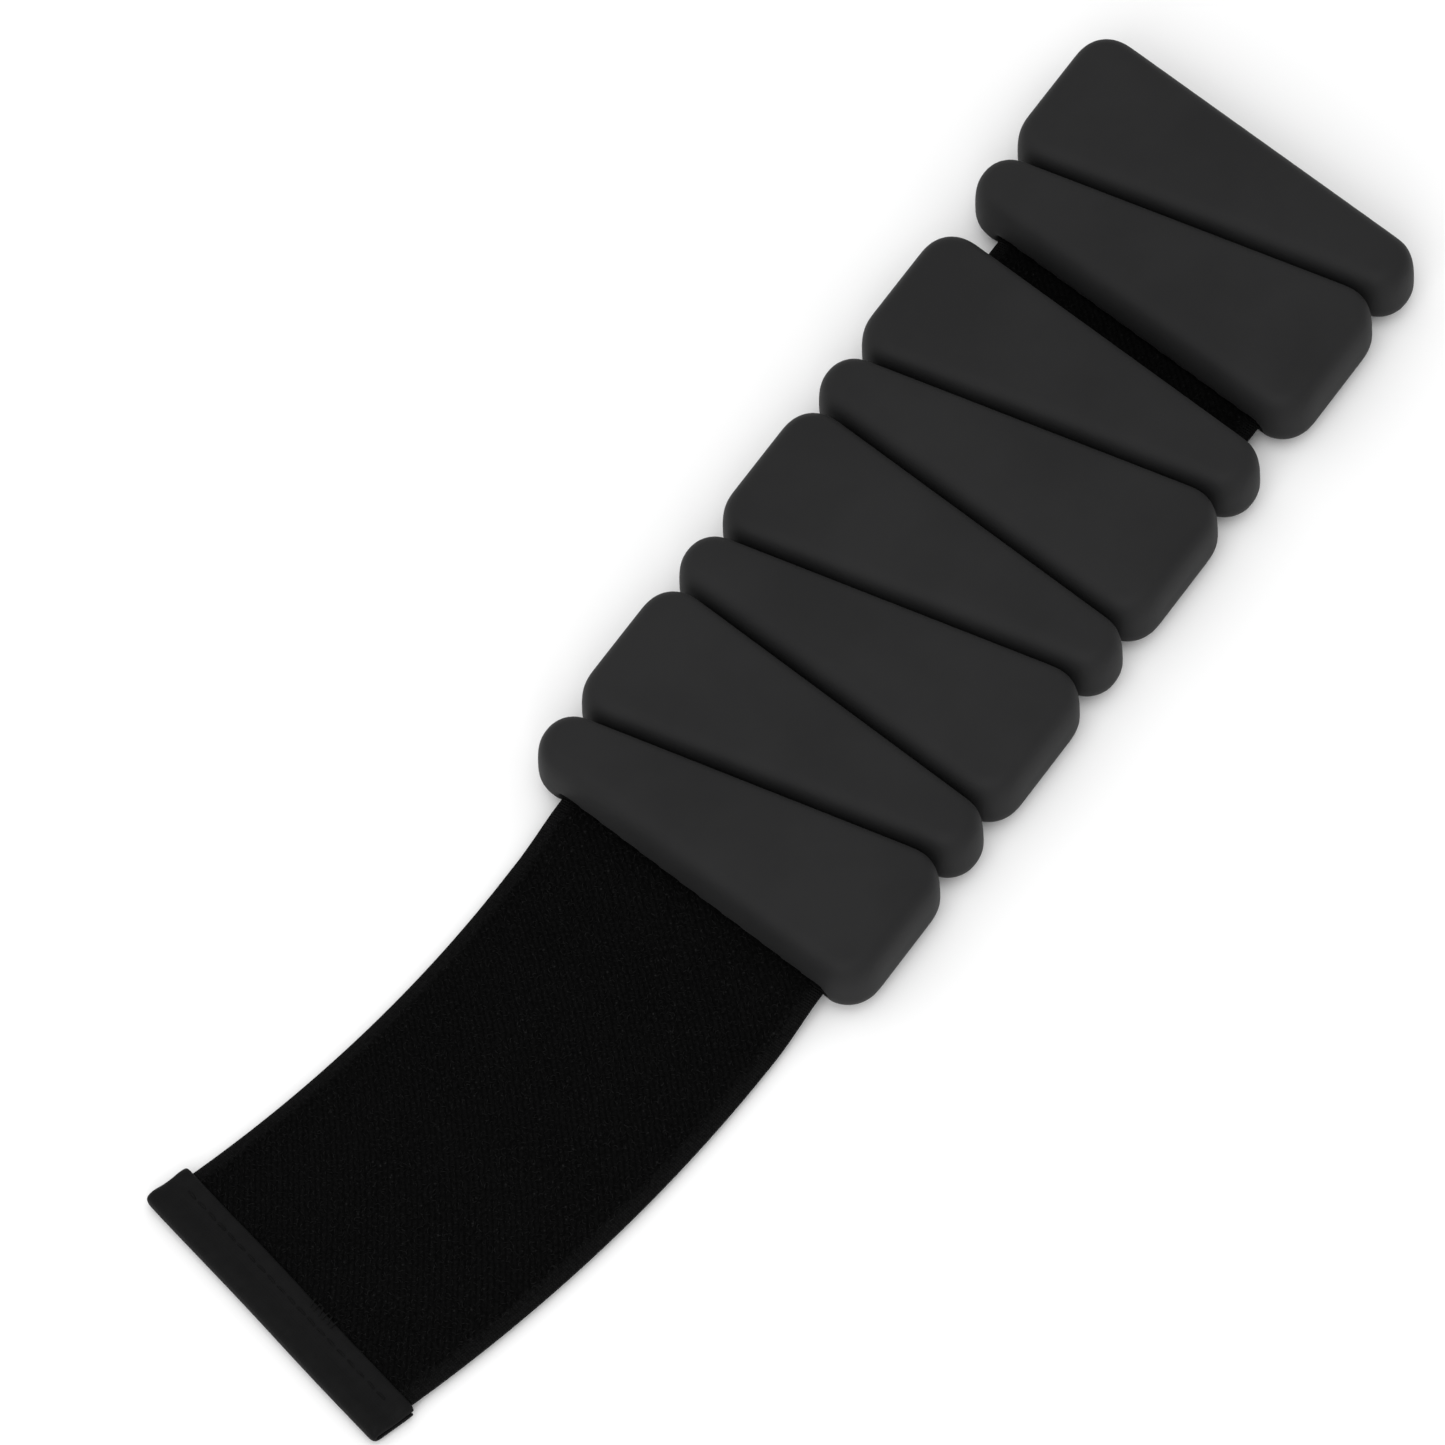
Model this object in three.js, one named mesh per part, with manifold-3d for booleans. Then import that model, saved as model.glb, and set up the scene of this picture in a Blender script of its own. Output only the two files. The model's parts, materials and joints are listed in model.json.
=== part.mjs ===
// Ankle cuff weight: eight wedge-shaped weighted beads strung on a wide elastic strap, laid out open.
// Units are millimetres. +Z is up and the beads rest on z = 0. The first bead is at the +X end and the
// free end of the strap at the -X end; each bead lies along Y.
import * as THREE from "three";
import { mergeVertices } from "three/addons/utils/BufferGeometryUtils.js";
import Module from "manifold-3d";

const wasm = await Module();
wasm.setup();

// ---------------------------------------------------------------- driving dimensions
const BEAD_COUNT = 8;
const BEAD_LENGTH = 72; // along Y, the height of the closed cuff
const BEAD_HEIGHT = 14;
const BEAD_WIDTH = 20.6; // along X, half way along the bead
const BEAD_TAPER = THREE.MathUtils.degToRad(8); // slant of each side to the bead's own axis
const BEAD_GAP = 0.4; // between neighbouring beads
const PITCH = BEAD_WIDTH + BEAD_GAP;
const OPEN_GAP = 5.6; // extra space between beads 2 and 3
const OPEN_BEAD = 2; // the bead that the extra space follows

const WIDE_CORNER = 6.5; // plan radius at the wide end
const NARROW_CORNER = 5.6; // plan radius at the narrow end, almost a half circle
const CORNER_STEPS = 4;
const BELLY_Z = 4.5; // height of the widest outline
const DOME_INSET = 4.4; // how far the domed top pulls in at its highest ring
const DOME_POWER = 3.6; // of the superellipse that the shoulders follow
const DOME_RINGS = 6;
const UNDERSIDE_RINGS = [ // height above the floor and inset of the rings under the belly
  [0, 2.6],
  [0.5, 1.75],
  [1.2, 1.15],
  [3.4, 0.1],
];

const STRAP_WIDTH = 57;
const STRAP_THICKNESS = 2;
const STRAP_Z = 3.5; // middle of the strap inside the beads
const HINGE_GAP = 0.4; // from each strap end to the fold line beside it
const END_ROUND_STEPS = 4; // facets of the rounded end of each strap length
const SLOT_WIDTH = 58.6;
const SLOT_HEIGHT = 2.6;
const SLOT_ROUND_STEPS = 3;
const BLIND_WALL = 4; // silicone left closed beyond the strap end in the first bead
const STRETCH_LENGTH = 10.4; // of the strap length that slides in and out of bead 2
const STRETCH_SPACE = 3.8; // free slot beyond it, taken up as the space closes

const CORE_RINGS = [ // height and inset of the steel core's outline
  [6.2, 3.2],
  [9, 3.3],
  [11.8, 4.4],
];
const FIT = 0.3; // clearance around an enclosed piece
const PIN_HOLE_RADIUS = 1.5; // left in the silicone by the pins that held the core in the mould
const PIN_HOLE_Y = 16;

const HOOK_BEADS = [1, 2];
const HOOK_INSET = 4;
const HOOK_THICKNESS = 0.9;
const HOOK_RECESS = 1.2;

const ANCHOR_RADIUS = 1.2;
const ANCHOR_LENGTH = 3.3;
const ANCHOR_Z = 3.55;
const ANCHOR_Y = [-18, 0, 18];
const ANCHOR_EDGE = 8.5; // from the closed side of the first bead
const ROUND_STEPS = 12;

const RAMP_LENGTH = 13; // of the sloping strap length beside the last bead
const TAIL_Z = 1.9; // middle of the strap where it lies beside the floor
const TAIL_SPANS = 5;
const TAIL_LENGTH = 84; // along the curve, from the ramp to the end cap
const TAIL_TURN = THREE.MathUtils.degToRad(17); // sideways bend of the tail on the floor
const TAIL_RADIUS = TAIL_LENGTH / TAIL_TURN;
const TAIL_STEPS = 3;

const CAP_LENGTH = 8.7;
const CAP_WIDTH = 59.6;
const CAP_THICKNESS = 3.8;
const CAP_CORNER = 1.4;
const CAP_EDGE = 0.7;
const CAP_GRIP = 6.7; // how deep the strap end goes into the cap

// ---------------------------------------------------------------- materials
const silicone = new THREE.MeshStandardMaterial({ color: 0x2b2b2c, roughness: 0.75, metalness: 0 });
const steel = new THREE.MeshStandardMaterial({ color: 0x8d9092, roughness: 0.45, metalness: 1 });
const loopPile = new THREE.MeshStandardMaterial({ color: 0x0c0c0d, roughness: 0.95, metalness: 0 });
const hookTape = new THREE.MeshStandardMaterial({ color: 0x151516, roughness: 0.6, metalness: 0 });
const binding = new THREE.MeshStandardMaterial({ color: 0x1b1b1c, roughness: 0.6, metalness: 0 });

// ---------------------------------------------------------------- solids
/** A closed solid through rings of equal point counts, each listed anticlockwise seen from the last ring. */
function loft(rings) {
  const count = rings[0].length;
  const positions = rings.flat().flatMap((point) => [point.x, point.y, point.z]);
  const indices = [];
  for (let r = 0; r < rings.length - 1; r += 1) {
    for (let i = 0; i < count; i += 1) {
      const next = (i + 1) % count;
      const [a, b] = [r * count + i, r * count + next];
      const [c, d] = [a + count, b + count];
      indices.push(a, b, d, a, d, c);
    }
  }
  addCap(indices, rings[0], 0, true);
  addCap(indices, rings.at(-1), (rings.length - 1) * count, false);
  const geometry = new THREE.BufferGeometry();
  geometry.setAttribute("position", new THREE.Float32BufferAttribute(positions, 3));
  geometry.setIndex(indices);
  return geometry;
}

/** Triangles that close one end ring of a loft. */
function addCap(indices, ring, first, flipped) {
  const [origin, along] = [ring[0], ring[1].clone().sub(ring[0]).normalize()];
  const normal = new THREE.Vector3();
  ring.forEach((point, i) => {
    normal.add(point.clone().sub(origin).cross(ring[(i + 1) % ring.length].clone().sub(origin)));
  });
  const across = normal.normalize().clone().cross(along);
  const flat = ring.map((point) => {
    const offset = point.clone().sub(origin);
    return new THREE.Vector2(offset.dot(along), offset.dot(across));
  });
  for (const [a, b, c] of THREE.ShapeUtils.triangulateShape(flat, [])) {
    indices.push(...(flipped ? [first + a, first + c, first + b] : [first + a, first + b, first + c]));
  }
}

/** A manifold solid from a closed geometry. */
function solid(geometry) {
  const bare = geometry.clone();
  bare.deleteAttribute("normal");
  bare.deleteAttribute("uv");
  const merged = mergeVertices(bare, 1e-5);
  const vertProperties = new Float32Array(merged.attributes.position.array);
  const triVerts = new Uint32Array(merged.index.array);
  return new wasm.Manifold(new wasm.Mesh({ numProp: 3, vertProperties, triVerts }));
}

/** The first geometry with each of the others cut out of it. */
function cut(geometry, tools) {
  const result = tools.reduce((body, tool) => body.subtract(solid(tool)), solid(geometry));
  const { vertProperties, triVerts } = result.getMesh();
  const out = new THREE.BufferGeometry();
  out.setAttribute("position", new THREE.Float32BufferAttribute(vertProperties, 3));
  out.setIndex(Array.from(triVerts));
  return out;
}

/** An upright cylinder centred at x, y, z. */
function upright(radius, length, x, y, z) {
  return new THREE.CylinderGeometry(radius, radius, length, ROUND_STEPS).rotateX(Math.PI / 2).translate(x, y, z);
}

// ---------------------------------------------------------------- beads
/** The bead's plan outline pulled in by an inset, at height z, anticlockwise. The wide end is at +Y. */
function beadOutline(z, inset) {
  const corners = [
    { side: 1, end: -1, radius: NARROW_CORNER, from: -Math.PI / 2, to: -BEAD_TAPER },
    { side: 1, end: 1, radius: WIDE_CORNER, from: -BEAD_TAPER, to: Math.PI / 2 },
    { side: -1, end: 1, radius: WIDE_CORNER, from: Math.PI / 2, to: Math.PI + BEAD_TAPER },
    { side: -1, end: -1, radius: NARROW_CORNER, from: Math.PI + BEAD_TAPER, to: 1.5 * Math.PI },
  ];
  return corners.flatMap(({ side, end, radius, from, to }) => {
    const y = end * (BEAD_LENGTH / 2 - radius);
    const x = side * (BEAD_WIDTH / 2 + Math.tan(BEAD_TAPER) * y - radius / Math.cos(BEAD_TAPER));
    return Array.from({ length: CORNER_STEPS + 1 }, (_, step) => {
      const angle = from + ((to - from) * step) / CORNER_STEPS;
      const reach = radius - inset;
      return new THREE.Vector3(x + reach * Math.cos(angle), y + reach * Math.sin(angle), z);
    });
  });
}

/** Rings from the underside up over the domed top. */
function jacketRings() {
  const dome = Array.from({ length: DOME_RINGS }, (_, step) => {
    const angle = (step / (DOME_RINGS - 1)) * (Math.PI / 2);
    const [rise, reach] = [Math.sin(angle), Math.abs(Math.cos(angle))].map((value) => value ** (2 / DOME_POWER));
    return [BELLY_Z + (BEAD_HEIGHT - BELLY_Z) * rise, DOME_INSET * (1 - reach)];
  });
  return [...UNDERSIDE_RINGS, ...dome];
}

/** The slot for the strap: a flat passage with rounded ends along X, from one x to the other. */
function slotTool(fromX, toX) {
  const [reach, radius] = [SLOT_WIDTH / 2 - SLOT_HEIGHT / 2, SLOT_HEIGHT / 2];
  const section = (x) => [1, -1].flatMap((end) => (
    Array.from({ length: SLOT_ROUND_STEPS + 1 }, (_, step) => {
      const angle = end * (-Math.PI / 2) + (Math.PI * step) / SLOT_ROUND_STEPS;
      return new THREE.Vector3(x, end * reach + radius * Math.cos(angle), STRAP_Z + radius * Math.sin(angle));
    })
  ));
  return loft([section(fromX), section(toX)]);
}

const hasHook = (number) => HOOK_BEADS.includes(number);

/** The silicone jacket, with its strap slot, the pocket that the core fills and any recess under it. */
function jacket(number) {
  const outside = BEAD_WIDTH;
  const closed = BEAD_WIDTH / 2 - BLIND_WALL;
  const pocket = CORE_RINGS.map(([z, inset]) => [z, inset - FIT]);
  pocket[0][0] -= FIT;
  pocket.at(-1)[0] += FIT;
  const tools = [
    slotTool(-outside, number === 1 ? closed : outside),
    loft(pocket.map(([z, inset]) => beadOutline(z, inset))),
  ];
  const [holeBottom, holeTop] = [STRAP_Z, CORE_RINGS[0][0]];
  for (const y of [-PIN_HOLE_Y, PIN_HOLE_Y]) {
    tools.push(upright(PIN_HOLE_RADIUS, holeTop - holeBottom, 0, y, (holeTop + holeBottom) / 2));
  }
  if (hasHook(number)) {
    tools.push(loft([-1, HOOK_RECESS].map((z) => beadOutline(z, HOOK_INSET - FIT))));
  }
  if (number === 1) {
    tools.push(...ANCHOR_Y.map((y) => upright(ANCHOR_RADIUS + FIT, ANCHOR_LENGTH + 2 * FIT, ANCHOR_X, y, ANCHOR_Z)));
  }
  return cut(loft(jacketRings().map(([z, inset]) => beadOutline(z, inset))), tools);
}

/** X of the middle of a bead, measured from the outer side of the first bead. */
function beadX(number) {
  return -BEAD_GAP / 2 - BEAD_WIDTH / 2 - (number - 1) * PITCH - (number > OPEN_BEAD ? OPEN_GAP : 0);
}

/** The fold line on the tail side of a bead, as its x half way along and its slant in X per Y. */
function foldAfter(number) {
  const slant = Math.tan(BEAD_TAPER) * (number % 2 === 1 ? -1 : 1);
  const x = beadX(number) - PITCH / 2 - (number === OPEN_BEAD ? OPEN_GAP : 0);
  return { x, slant };
}

const ANCHOR_X = BEAD_WIDTH / 2 - ANCHOR_EDGE;

// ---------------------------------------------------------------- strap
/** Section of a strap length between two x values at one y, with both ends rounded. */
function strapSection(lowX, highX, y, z) {
  const radius = STRAP_THICKNESS / 2;
  return [highX - radius, lowX + radius].flatMap((x, end) => (
    Array.from({ length: END_ROUND_STEPS + 1 }, (_, step) => {
      const angle = -Math.PI / 2 + Math.PI * (end + step / END_ROUND_STEPS);
      return new THREE.Vector3(x + radius * Math.cos(angle), y, z + radius * Math.sin(angle));
    })
  ));
}

/** A flat strap length between two fold lines, kept clear of each by the hinge gap. */
function strapSpan(high, low, z = STRAP_Z) {
  const ends = [STRAP_WIDTH / 2, -STRAP_WIDTH / 2].map((y) => strapSection(
    low.x + low.slant * y + HINGE_GAP,
    high.x + high.slant * y - HINGE_GAP,
    y,
    z,
  ));
  return loft(ends);
}

/** A strap length curving sideways on the floor. from and to give its stations at each y. */
function curvedSpan(from, to) {
  const radius = STRAP_THICKNESS / 2;
  const at = (station, y, z) => {
    const angle = station / TAIL_RADIUS;
    const reach = TAIL_RADIUS - y;
    return new THREE.Vector3(-reach * Math.sin(angle), TAIL_RADIUS - reach * Math.cos(angle), z);
  };
  const ends = [STRAP_WIDTH / 2, -STRAP_WIDTH / 2].map((y) => {
    const stretch = TAIL_RADIUS / (TAIL_RADIUS - y); // stations per millimetre at this y
    const [near, far] = [from(y) + (HINGE_GAP + radius) * stretch, to(y) - (HINGE_GAP + radius) * stretch];
    const points = [];
    for (let step = 0; step <= END_ROUND_STEPS; step += 1) {
      const angle = -Math.PI / 2 + (Math.PI * step) / END_ROUND_STEPS;
      points.push(at(near - radius * stretch * Math.cos(angle), y, radius * Math.sin(angle)));
    }
    for (let step = 1; step < TAIL_STEPS; step += 1) {
      points.push(at(near + ((far - near) * step) / TAIL_STEPS, y, radius));
    }
    for (let step = 0; step <= END_ROUND_STEPS; step += 1) {
      const angle = Math.PI / 2 + (Math.PI * step) / END_ROUND_STEPS;
      points.push(at(far - radius * stretch * Math.cos(angle), y, radius * Math.sin(angle)));
    }
    for (let step = TAIL_STEPS - 1; step > 0; step -= 1) {
      points.push(at(near + ((far - near) * step) / TAIL_STEPS, y, -radius));
    }
    return points;
  });
  return loft(ends);
}

/** The folded strip that binds the strap's free end, open towards the strap, its inner edge at x = 0. */
function endCap() {
  const [long, wide] = [CAP_LENGTH / 2 - CAP_CORNER, CAP_WIDTH / 2 - CAP_CORNER];
  const outline = (z, inset) => [[1, -1], [1, 1], [-1, 1], [-1, -1]].flatMap(([side, end], corner) => (
    Array.from({ length: CORNER_STEPS }, (_, step) => {
      const angle = (Math.PI / 2) * (corner - 1 + step / (CORNER_STEPS - 1));
      const reach = CAP_CORNER - inset;
      const x = -CAP_LENGTH / 2 + side * long + reach * Math.cos(angle);
      return new THREE.Vector3(x, end * wide + reach * Math.sin(angle), z);
    })
  ));
  const half = CAP_THICKNESS / 2;
  const body = loft([
    outline(-half, CAP_EDGE),
    outline(CAP_EDGE - half, 0),
    outline(half - CAP_EDGE, 0),
    outline(half, CAP_EDGE),
  ]);
  const mouth = new THREE.BoxGeometry(2 * (CAP_GRIP + FIT), STRAP_WIDTH + 2 * FIT, STRAP_THICKNESS + 2 * FIT);
  return cut(body, [mouth]);
}

// ---------------------------------------------------------------- assembly
const cuff = new THREE.Group();

function add(parent, name, geometry, material) {
  const mesh = new THREE.Mesh(geometry, material);
  mesh.name = name;
  parent.add(mesh);
  return mesh;
}

for (let number = 1; number <= BEAD_COUNT; number += 1) {
  const bead = new THREE.Group();
  bead.position.x = beadX(number);
  bead.rotation.z = number % 2 === 1 ? 0 : Math.PI;
  add(bead, `bead_${number}_jacket`, jacket(number), silicone);
  add(bead, `bead_${number}_steel_core`, loft(CORE_RINGS.map(([z, inset]) => beadOutline(z, inset))), steel);
  if (hasHook(number)) {
    const rings = [HOOK_RECESS - FIT - HOOK_THICKNESS, HOOK_RECESS - FIT].map((z) => beadOutline(z, HOOK_INSET));
    add(bead, `bead_${number}_hook_pad`, loft(rings), hookTape);
  }
  if (number === 1) {
    ANCHOR_Y.forEach((y, index) => {
      add(bead, `strap_anchor_pin_${index + 1}`, upright(ANCHOR_RADIUS, ANCHOR_LENGTH, ANCHOR_X, y, ANCHOR_Z), steel);
    });
  }
  cuff.add(bead);
}

const closedEnd = { x: beadX(1) + BEAD_WIDTH / 2 - BLIND_WALL - FIT + HINGE_GAP, slant: 0 };
const anchorHoles = ANCHOR_Y.map((y) => (
  upright(ANCHOR_RADIUS + FIT, 2 * STRAP_THICKNESS, beadX(1) + ANCHOR_X, y, STRAP_Z)
));
add(cuff, "strap_span_1", cut(strapSpan(closedEnd, foldAfter(1)), anchorHoles), loopPile);

const stretchFold = foldAfter(OPEN_BEAD);
const stretchTop = { x: stretchFold.x + STRETCH_LENGTH, slant: stretchFold.slant };
add(cuff, "strap_stretch_span", strapSpan(stretchTop, stretchFold), loopPile);
const slantReach = (Math.abs(stretchFold.slant) * STRAP_WIDTH) / 2;
const shortEnd = { x: stretchTop.x + STRETCH_SPACE + slantReach, slant: 0 };
add(cuff, "strap_span_2", strapSpan(foldAfter(1), shortEnd), loopPile);

for (let number = OPEN_BEAD + 1; number <= BEAD_COUNT; number += 1) {
  add(cuff, `strap_span_${number}`, strapSpan(foldAfter(number - 1), foldAfter(number)), loopPile);
}

const exitFold = foldAfter(BEAD_COUNT);
const rampAngle = Math.asin((STRAP_Z - TAIL_Z) / (RAMP_LENGTH * Math.cos(BEAD_TAPER)));
const exit = new THREE.Group();
exit.position.set(exitFold.x, 0, STRAP_Z);
const foldAxis = new THREE.Vector3(exitFold.slant, 1, 0).normalize();
const ramp = new THREE.Group();
ramp.quaternion.setFromAxisAngle(foldAxis, -rampAngle);
const rampStart = { x: 0, slant: exitFold.slant };
const rampEnd = { x: -RAMP_LENGTH, slant: exitFold.slant };
add(ramp, "strap_tail_1", strapSpan(rampStart, rampEnd, 0), loopPile);
exit.add(ramp);
cuff.add(exit);

const rampFoot = new THREE.Vector3(-RAMP_LENGTH, 0, 0).applyQuaternion(ramp.quaternion);
let tail = new THREE.Group();
tail.position.copy(rampFoot);
exit.add(tail);
const slantedStart = (y) => {
  const x = exitFold.slant * y;
  return TAIL_RADIUS * Math.asin(-x / (TAIL_RADIUS - y));
};
const spanLength = TAIL_LENGTH / TAIL_SPANS;
for (let span = 1; span <= TAIL_SPANS; span += 1) {
  const start = span === 1 ? slantedStart : () => 0;
  const gripped = span === TAIL_SPANS ? CAP_GRIP + HINGE_GAP : 0;
  const finish = (y) => spanLength + (gripped * TAIL_RADIUS) / (TAIL_RADIUS - y);
  add(tail, `strap_tail_${span + 1}`, curvedSpan(start, finish), loopPile);
  const next = new THREE.Group();
  const turn = spanLength / TAIL_RADIUS;
  next.position.set(-TAIL_RADIUS * Math.sin(turn), TAIL_RADIUS * (1 - Math.cos(turn)), 0);
  next.rotation.z = -turn;
  tail.add(next);
  tail = next;
}
add(tail, "end_cap", endCap(), binding);

// Centre the outline over the origin.
const box = new THREE.Box3().setFromObject(cuff, true);
const middle = box.getCenter(new THREE.Vector3());
cuff.position.set(-middle.x, -middle.y, -box.min.z);

export default cuff;
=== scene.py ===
"""Ankle cuff weight: eight silicone-covered beads threaded on a wide loop-pile strap with a bound end."""

import json
import logging
import math
from collections.abc import Callable, Iterator
from contextlib import contextmanager
from dataclasses import dataclass, field
from enum import Enum

import bmesh
import bpy
import numpy as np
from mathutils import Matrix, Vector


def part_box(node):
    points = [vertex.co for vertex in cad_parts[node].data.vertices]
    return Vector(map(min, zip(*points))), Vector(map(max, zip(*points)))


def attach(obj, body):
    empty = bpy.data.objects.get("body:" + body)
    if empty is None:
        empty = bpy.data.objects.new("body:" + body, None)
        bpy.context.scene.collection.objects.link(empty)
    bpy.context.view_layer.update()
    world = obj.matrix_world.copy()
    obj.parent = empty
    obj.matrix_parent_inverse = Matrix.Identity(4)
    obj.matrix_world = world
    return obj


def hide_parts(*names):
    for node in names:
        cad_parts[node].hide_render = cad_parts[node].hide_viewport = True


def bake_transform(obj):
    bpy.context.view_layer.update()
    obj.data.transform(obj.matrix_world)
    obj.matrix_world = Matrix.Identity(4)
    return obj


LOG = logging.getLogger("ankle_cuff")
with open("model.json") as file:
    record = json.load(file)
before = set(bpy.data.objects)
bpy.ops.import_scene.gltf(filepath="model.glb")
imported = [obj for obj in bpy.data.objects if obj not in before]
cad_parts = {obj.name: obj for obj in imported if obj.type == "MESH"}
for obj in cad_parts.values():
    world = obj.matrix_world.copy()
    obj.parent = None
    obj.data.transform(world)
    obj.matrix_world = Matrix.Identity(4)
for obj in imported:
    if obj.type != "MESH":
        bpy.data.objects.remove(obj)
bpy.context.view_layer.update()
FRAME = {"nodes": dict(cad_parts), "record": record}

MM = 0.001
BEAD_TOTAL = 8
STRAP_HEIGHT = 3.5 * MM  # middle of the strap where it passes through the beads
WELD = 0.01 * MM  # points closer than this are one
HALF_TURN = math.pi
HASH = (12.9898, 78.233, 43758.5453)  # row, column and spread factors of the repeatable scatter


class Kind(Enum):
    """What a selection in edit mode is made of."""

    VERTICES = "VERT"
    EDGES = "EDGE"


class BeadType(Enum):
    """The three mouldings of the bead."""

    PLAIN = "plain"
    HOOKED = "hooked"
    END = "end"


# ------------------------------------------------------------------ modelling helpers
def deselect_all() -> None:
    """Leaves nothing selected."""
    for obj in bpy.context.selected_objects:
        obj.select_set(False)


def focus(*objs: bpy.types.Object) -> None:
    """Selects only these objects and makes the first one active.

    Args:
        objs: The objects to work on.
    """
    deselect_all()
    for obj in objs:
        obj.select_set(True)
    bpy.context.view_layer.objects.active = objs[0]


@contextmanager
def editing(obj: bpy.types.Object, selected: bool = False) -> Iterator[None]:
    """Keeps one piece in edit mode.

    Args:
        obj: The piece to edit.
        selected: Whether everything starts selected.
    """
    focus(obj)
    bpy.ops.object.mode_set(mode="EDIT")
    bpy.ops.mesh.select_all(action="SELECT" if selected else "DESELECT")
    try:
        yield
    finally:
        bpy.ops.object.mode_set(mode="OBJECT")


def pick(obj: bpy.types.Object, kind: Kind, test: Callable[[Vector, Vector], bool]) -> None:
    """Selects the parts of the edited mesh that pass a test, and nothing else.

    Args:
        obj: The piece in edit mode.
        kind: What is selected.
        test: Takes the middle of each part, and its normal or direction.
    """
    bpy.ops.mesh.select_all(action="DESELECT")
    bpy.ops.mesh.select_mode(type=kind.value)
    shape = bmesh.from_edit_mesh(obj.data)
    if kind is Kind.VERTICES:
        chosen = [v for v in shape.verts if test(v.co, v.normal)]
    else:
        ends = ((e, e.verts[0].co, e.verts[1].co) for e in shape.edges)
        chosen = [e for e, a, b in ends if test((a + b) / 2, (b - a).normalized())]
    for part in chosen:
        part.select_set(True)
    shape.select_flush_mode()
    bmesh.update_edit_mesh(obj.data)


def face_outward() -> None:
    """Turns every face of the edited mesh outward."""
    bpy.ops.mesh.select_all(action="SELECT")
    bpy.ops.mesh.normals_make_consistent(inside=False)


def discard(obj: bpy.types.Object) -> None:
    """Removes a tool or prototype that has done its work."""
    bpy.data.objects.remove(obj, do_unlink=True)


def smooth(obj: bpy.types.Object, crease: float | None = None) -> None:
    """Shades a piece smooth.

    Args:
        obj: The piece.
        crease: The angle in degrees from which an edge stays sharp, or none.
    """
    focus(obj)
    if crease is None:
        bpy.ops.object.shade_smooth()
    else:
        bpy.ops.object.shade_smooth_by_angle(angle=math.radians(crease))


def newest(name: str) -> bpy.types.Object:
    """Names the object that an operator has just added.

    Args:
        name: The new name of the object and its mesh.

    Returns:
        The added object.
    """
    obj = bpy.context.object
    obj.name = name
    obj.data.name = name
    return obj


def apply_modifier(obj: bpy.types.Object, kind: str, **settings: object) -> None:
    """Adds a modifier to a piece and applies it.

    Args:
        obj: The piece.
        kind: The modifier's type.
        settings: The modifier's values by name.
    """
    focus(obj)
    modifier = obj.modifiers.new(kind.lower(), kind)
    for name, value in settings.items():
        setattr(modifier, name, value)
    bpy.ops.object.modifier_apply(modifier=modifier.name)


def carve(obj: bpy.types.Object, tool: bpy.types.Object) -> None:
    """Cuts a tool out of a piece and removes the tool.

    Args:
        obj: The piece.
        tool: The closed shape that is cut away.
    """
    apply_modifier(obj, "BOOLEAN", operation="DIFFERENCE", solver="EXACT", object=tool)
    discard(tool)


def duplicate(obj: bpy.types.Object, name: str, place: Matrix) -> bpy.types.Object:
    """Copies a piece with a mesh of its own, set in place.

    Args:
        obj: The piece to copy.
        name: The copy's name.
        place: Where the copy goes, written into its mesh.

    Returns:
        The copy.
    """
    copy = obj.copy()
    copy.data = obj.data.copy()
    copy.name = name
    copy.data.name = name
    copy.data.transform(place)
    bpy.context.scene.collection.objects.link(copy)
    return copy


def points_of(obj: bpy.types.Object) -> np.ndarray:
    """The piece's vertices as an array of rows."""
    flat = np.empty(len(obj.data.vertices) * 3)
    obj.data.vertices.foreach_get("co", flat)
    return flat.reshape(-1, 3)


def set_points(obj: bpy.types.Object, points: np.ndarray) -> None:
    """Moves the piece's vertices to these rows."""
    obj.data.vertices.foreach_set("co", points.astype(np.float32).ravel())
    obj.data.update()


def stamped(prototype: bpy.types.Object, name: str, places: list[Matrix]) -> bpy.types.Object:
    """One mesh of many small copies of a shape.

    Args:
        prototype: The shape that repeats.
        name: The new piece's name.
        places: Where each copy goes.

    Returns:
        The piece that holds every copy.
    """
    points = points_of(prototype)
    faces = [list(polygon.vertices) for polygon in prototype.data.polygons]
    padded = np.hstack([points, np.ones((len(points), 1))])
    vertices = np.vstack([(padded @ np.array(place).T)[:, :3] for place in places])
    count = len(points)
    loops = [[index + copy * count for index in face] for copy in range(len(places)) for face in faces]
    mesh = bpy.data.meshes.new(name)
    mesh.from_pydata(vertices.tolist(), [], loops)
    obj = bpy.data.objects.new(name, mesh)
    bpy.context.scene.collection.objects.link(obj)
    return obj


def thread_arch(name: str, radius: float, thickness: float, sides: int, steps: int) -> bpy.types.Object:
    """A half ring of thread standing on its two ends in the XZ plane.

    Args:
        name: The prototype's name.
        radius: From the middle of the arch to the thread's middle.
        thickness: The thread's radius.
        sides: Sides of the thread's section.
        steps: Lengths along the arch.

    Returns:
        The prototype arch.
    """
    deselect_all()
    bpy.ops.mesh.primitive_circle_add(vertices=sides, radius=thickness, location=(radius, 0, 0))
    arch = newest(name)
    bpy.ops.object.transform_apply(location=True, rotation=True, scale=True)
    with editing(arch, selected=True):
        bpy.ops.mesh.spin(steps=steps, angle=HALF_TURN, center=(0, 0, 0), axis=(0, 1, 0))
        bpy.ops.mesh.select_all(action="SELECT")
        bpy.ops.mesh.remove_doubles(threshold=thickness / 50)
        face_outward()
    return arch


def frame_box(node: str) -> tuple[Vector, Vector]:
    """Lowest and highest corner of a node of the frame.

    Args:
        node: The node's name.

    Returns:
        The two corners.
    """
    low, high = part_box(node)
    return Vector(low), Vector(high)


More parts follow.
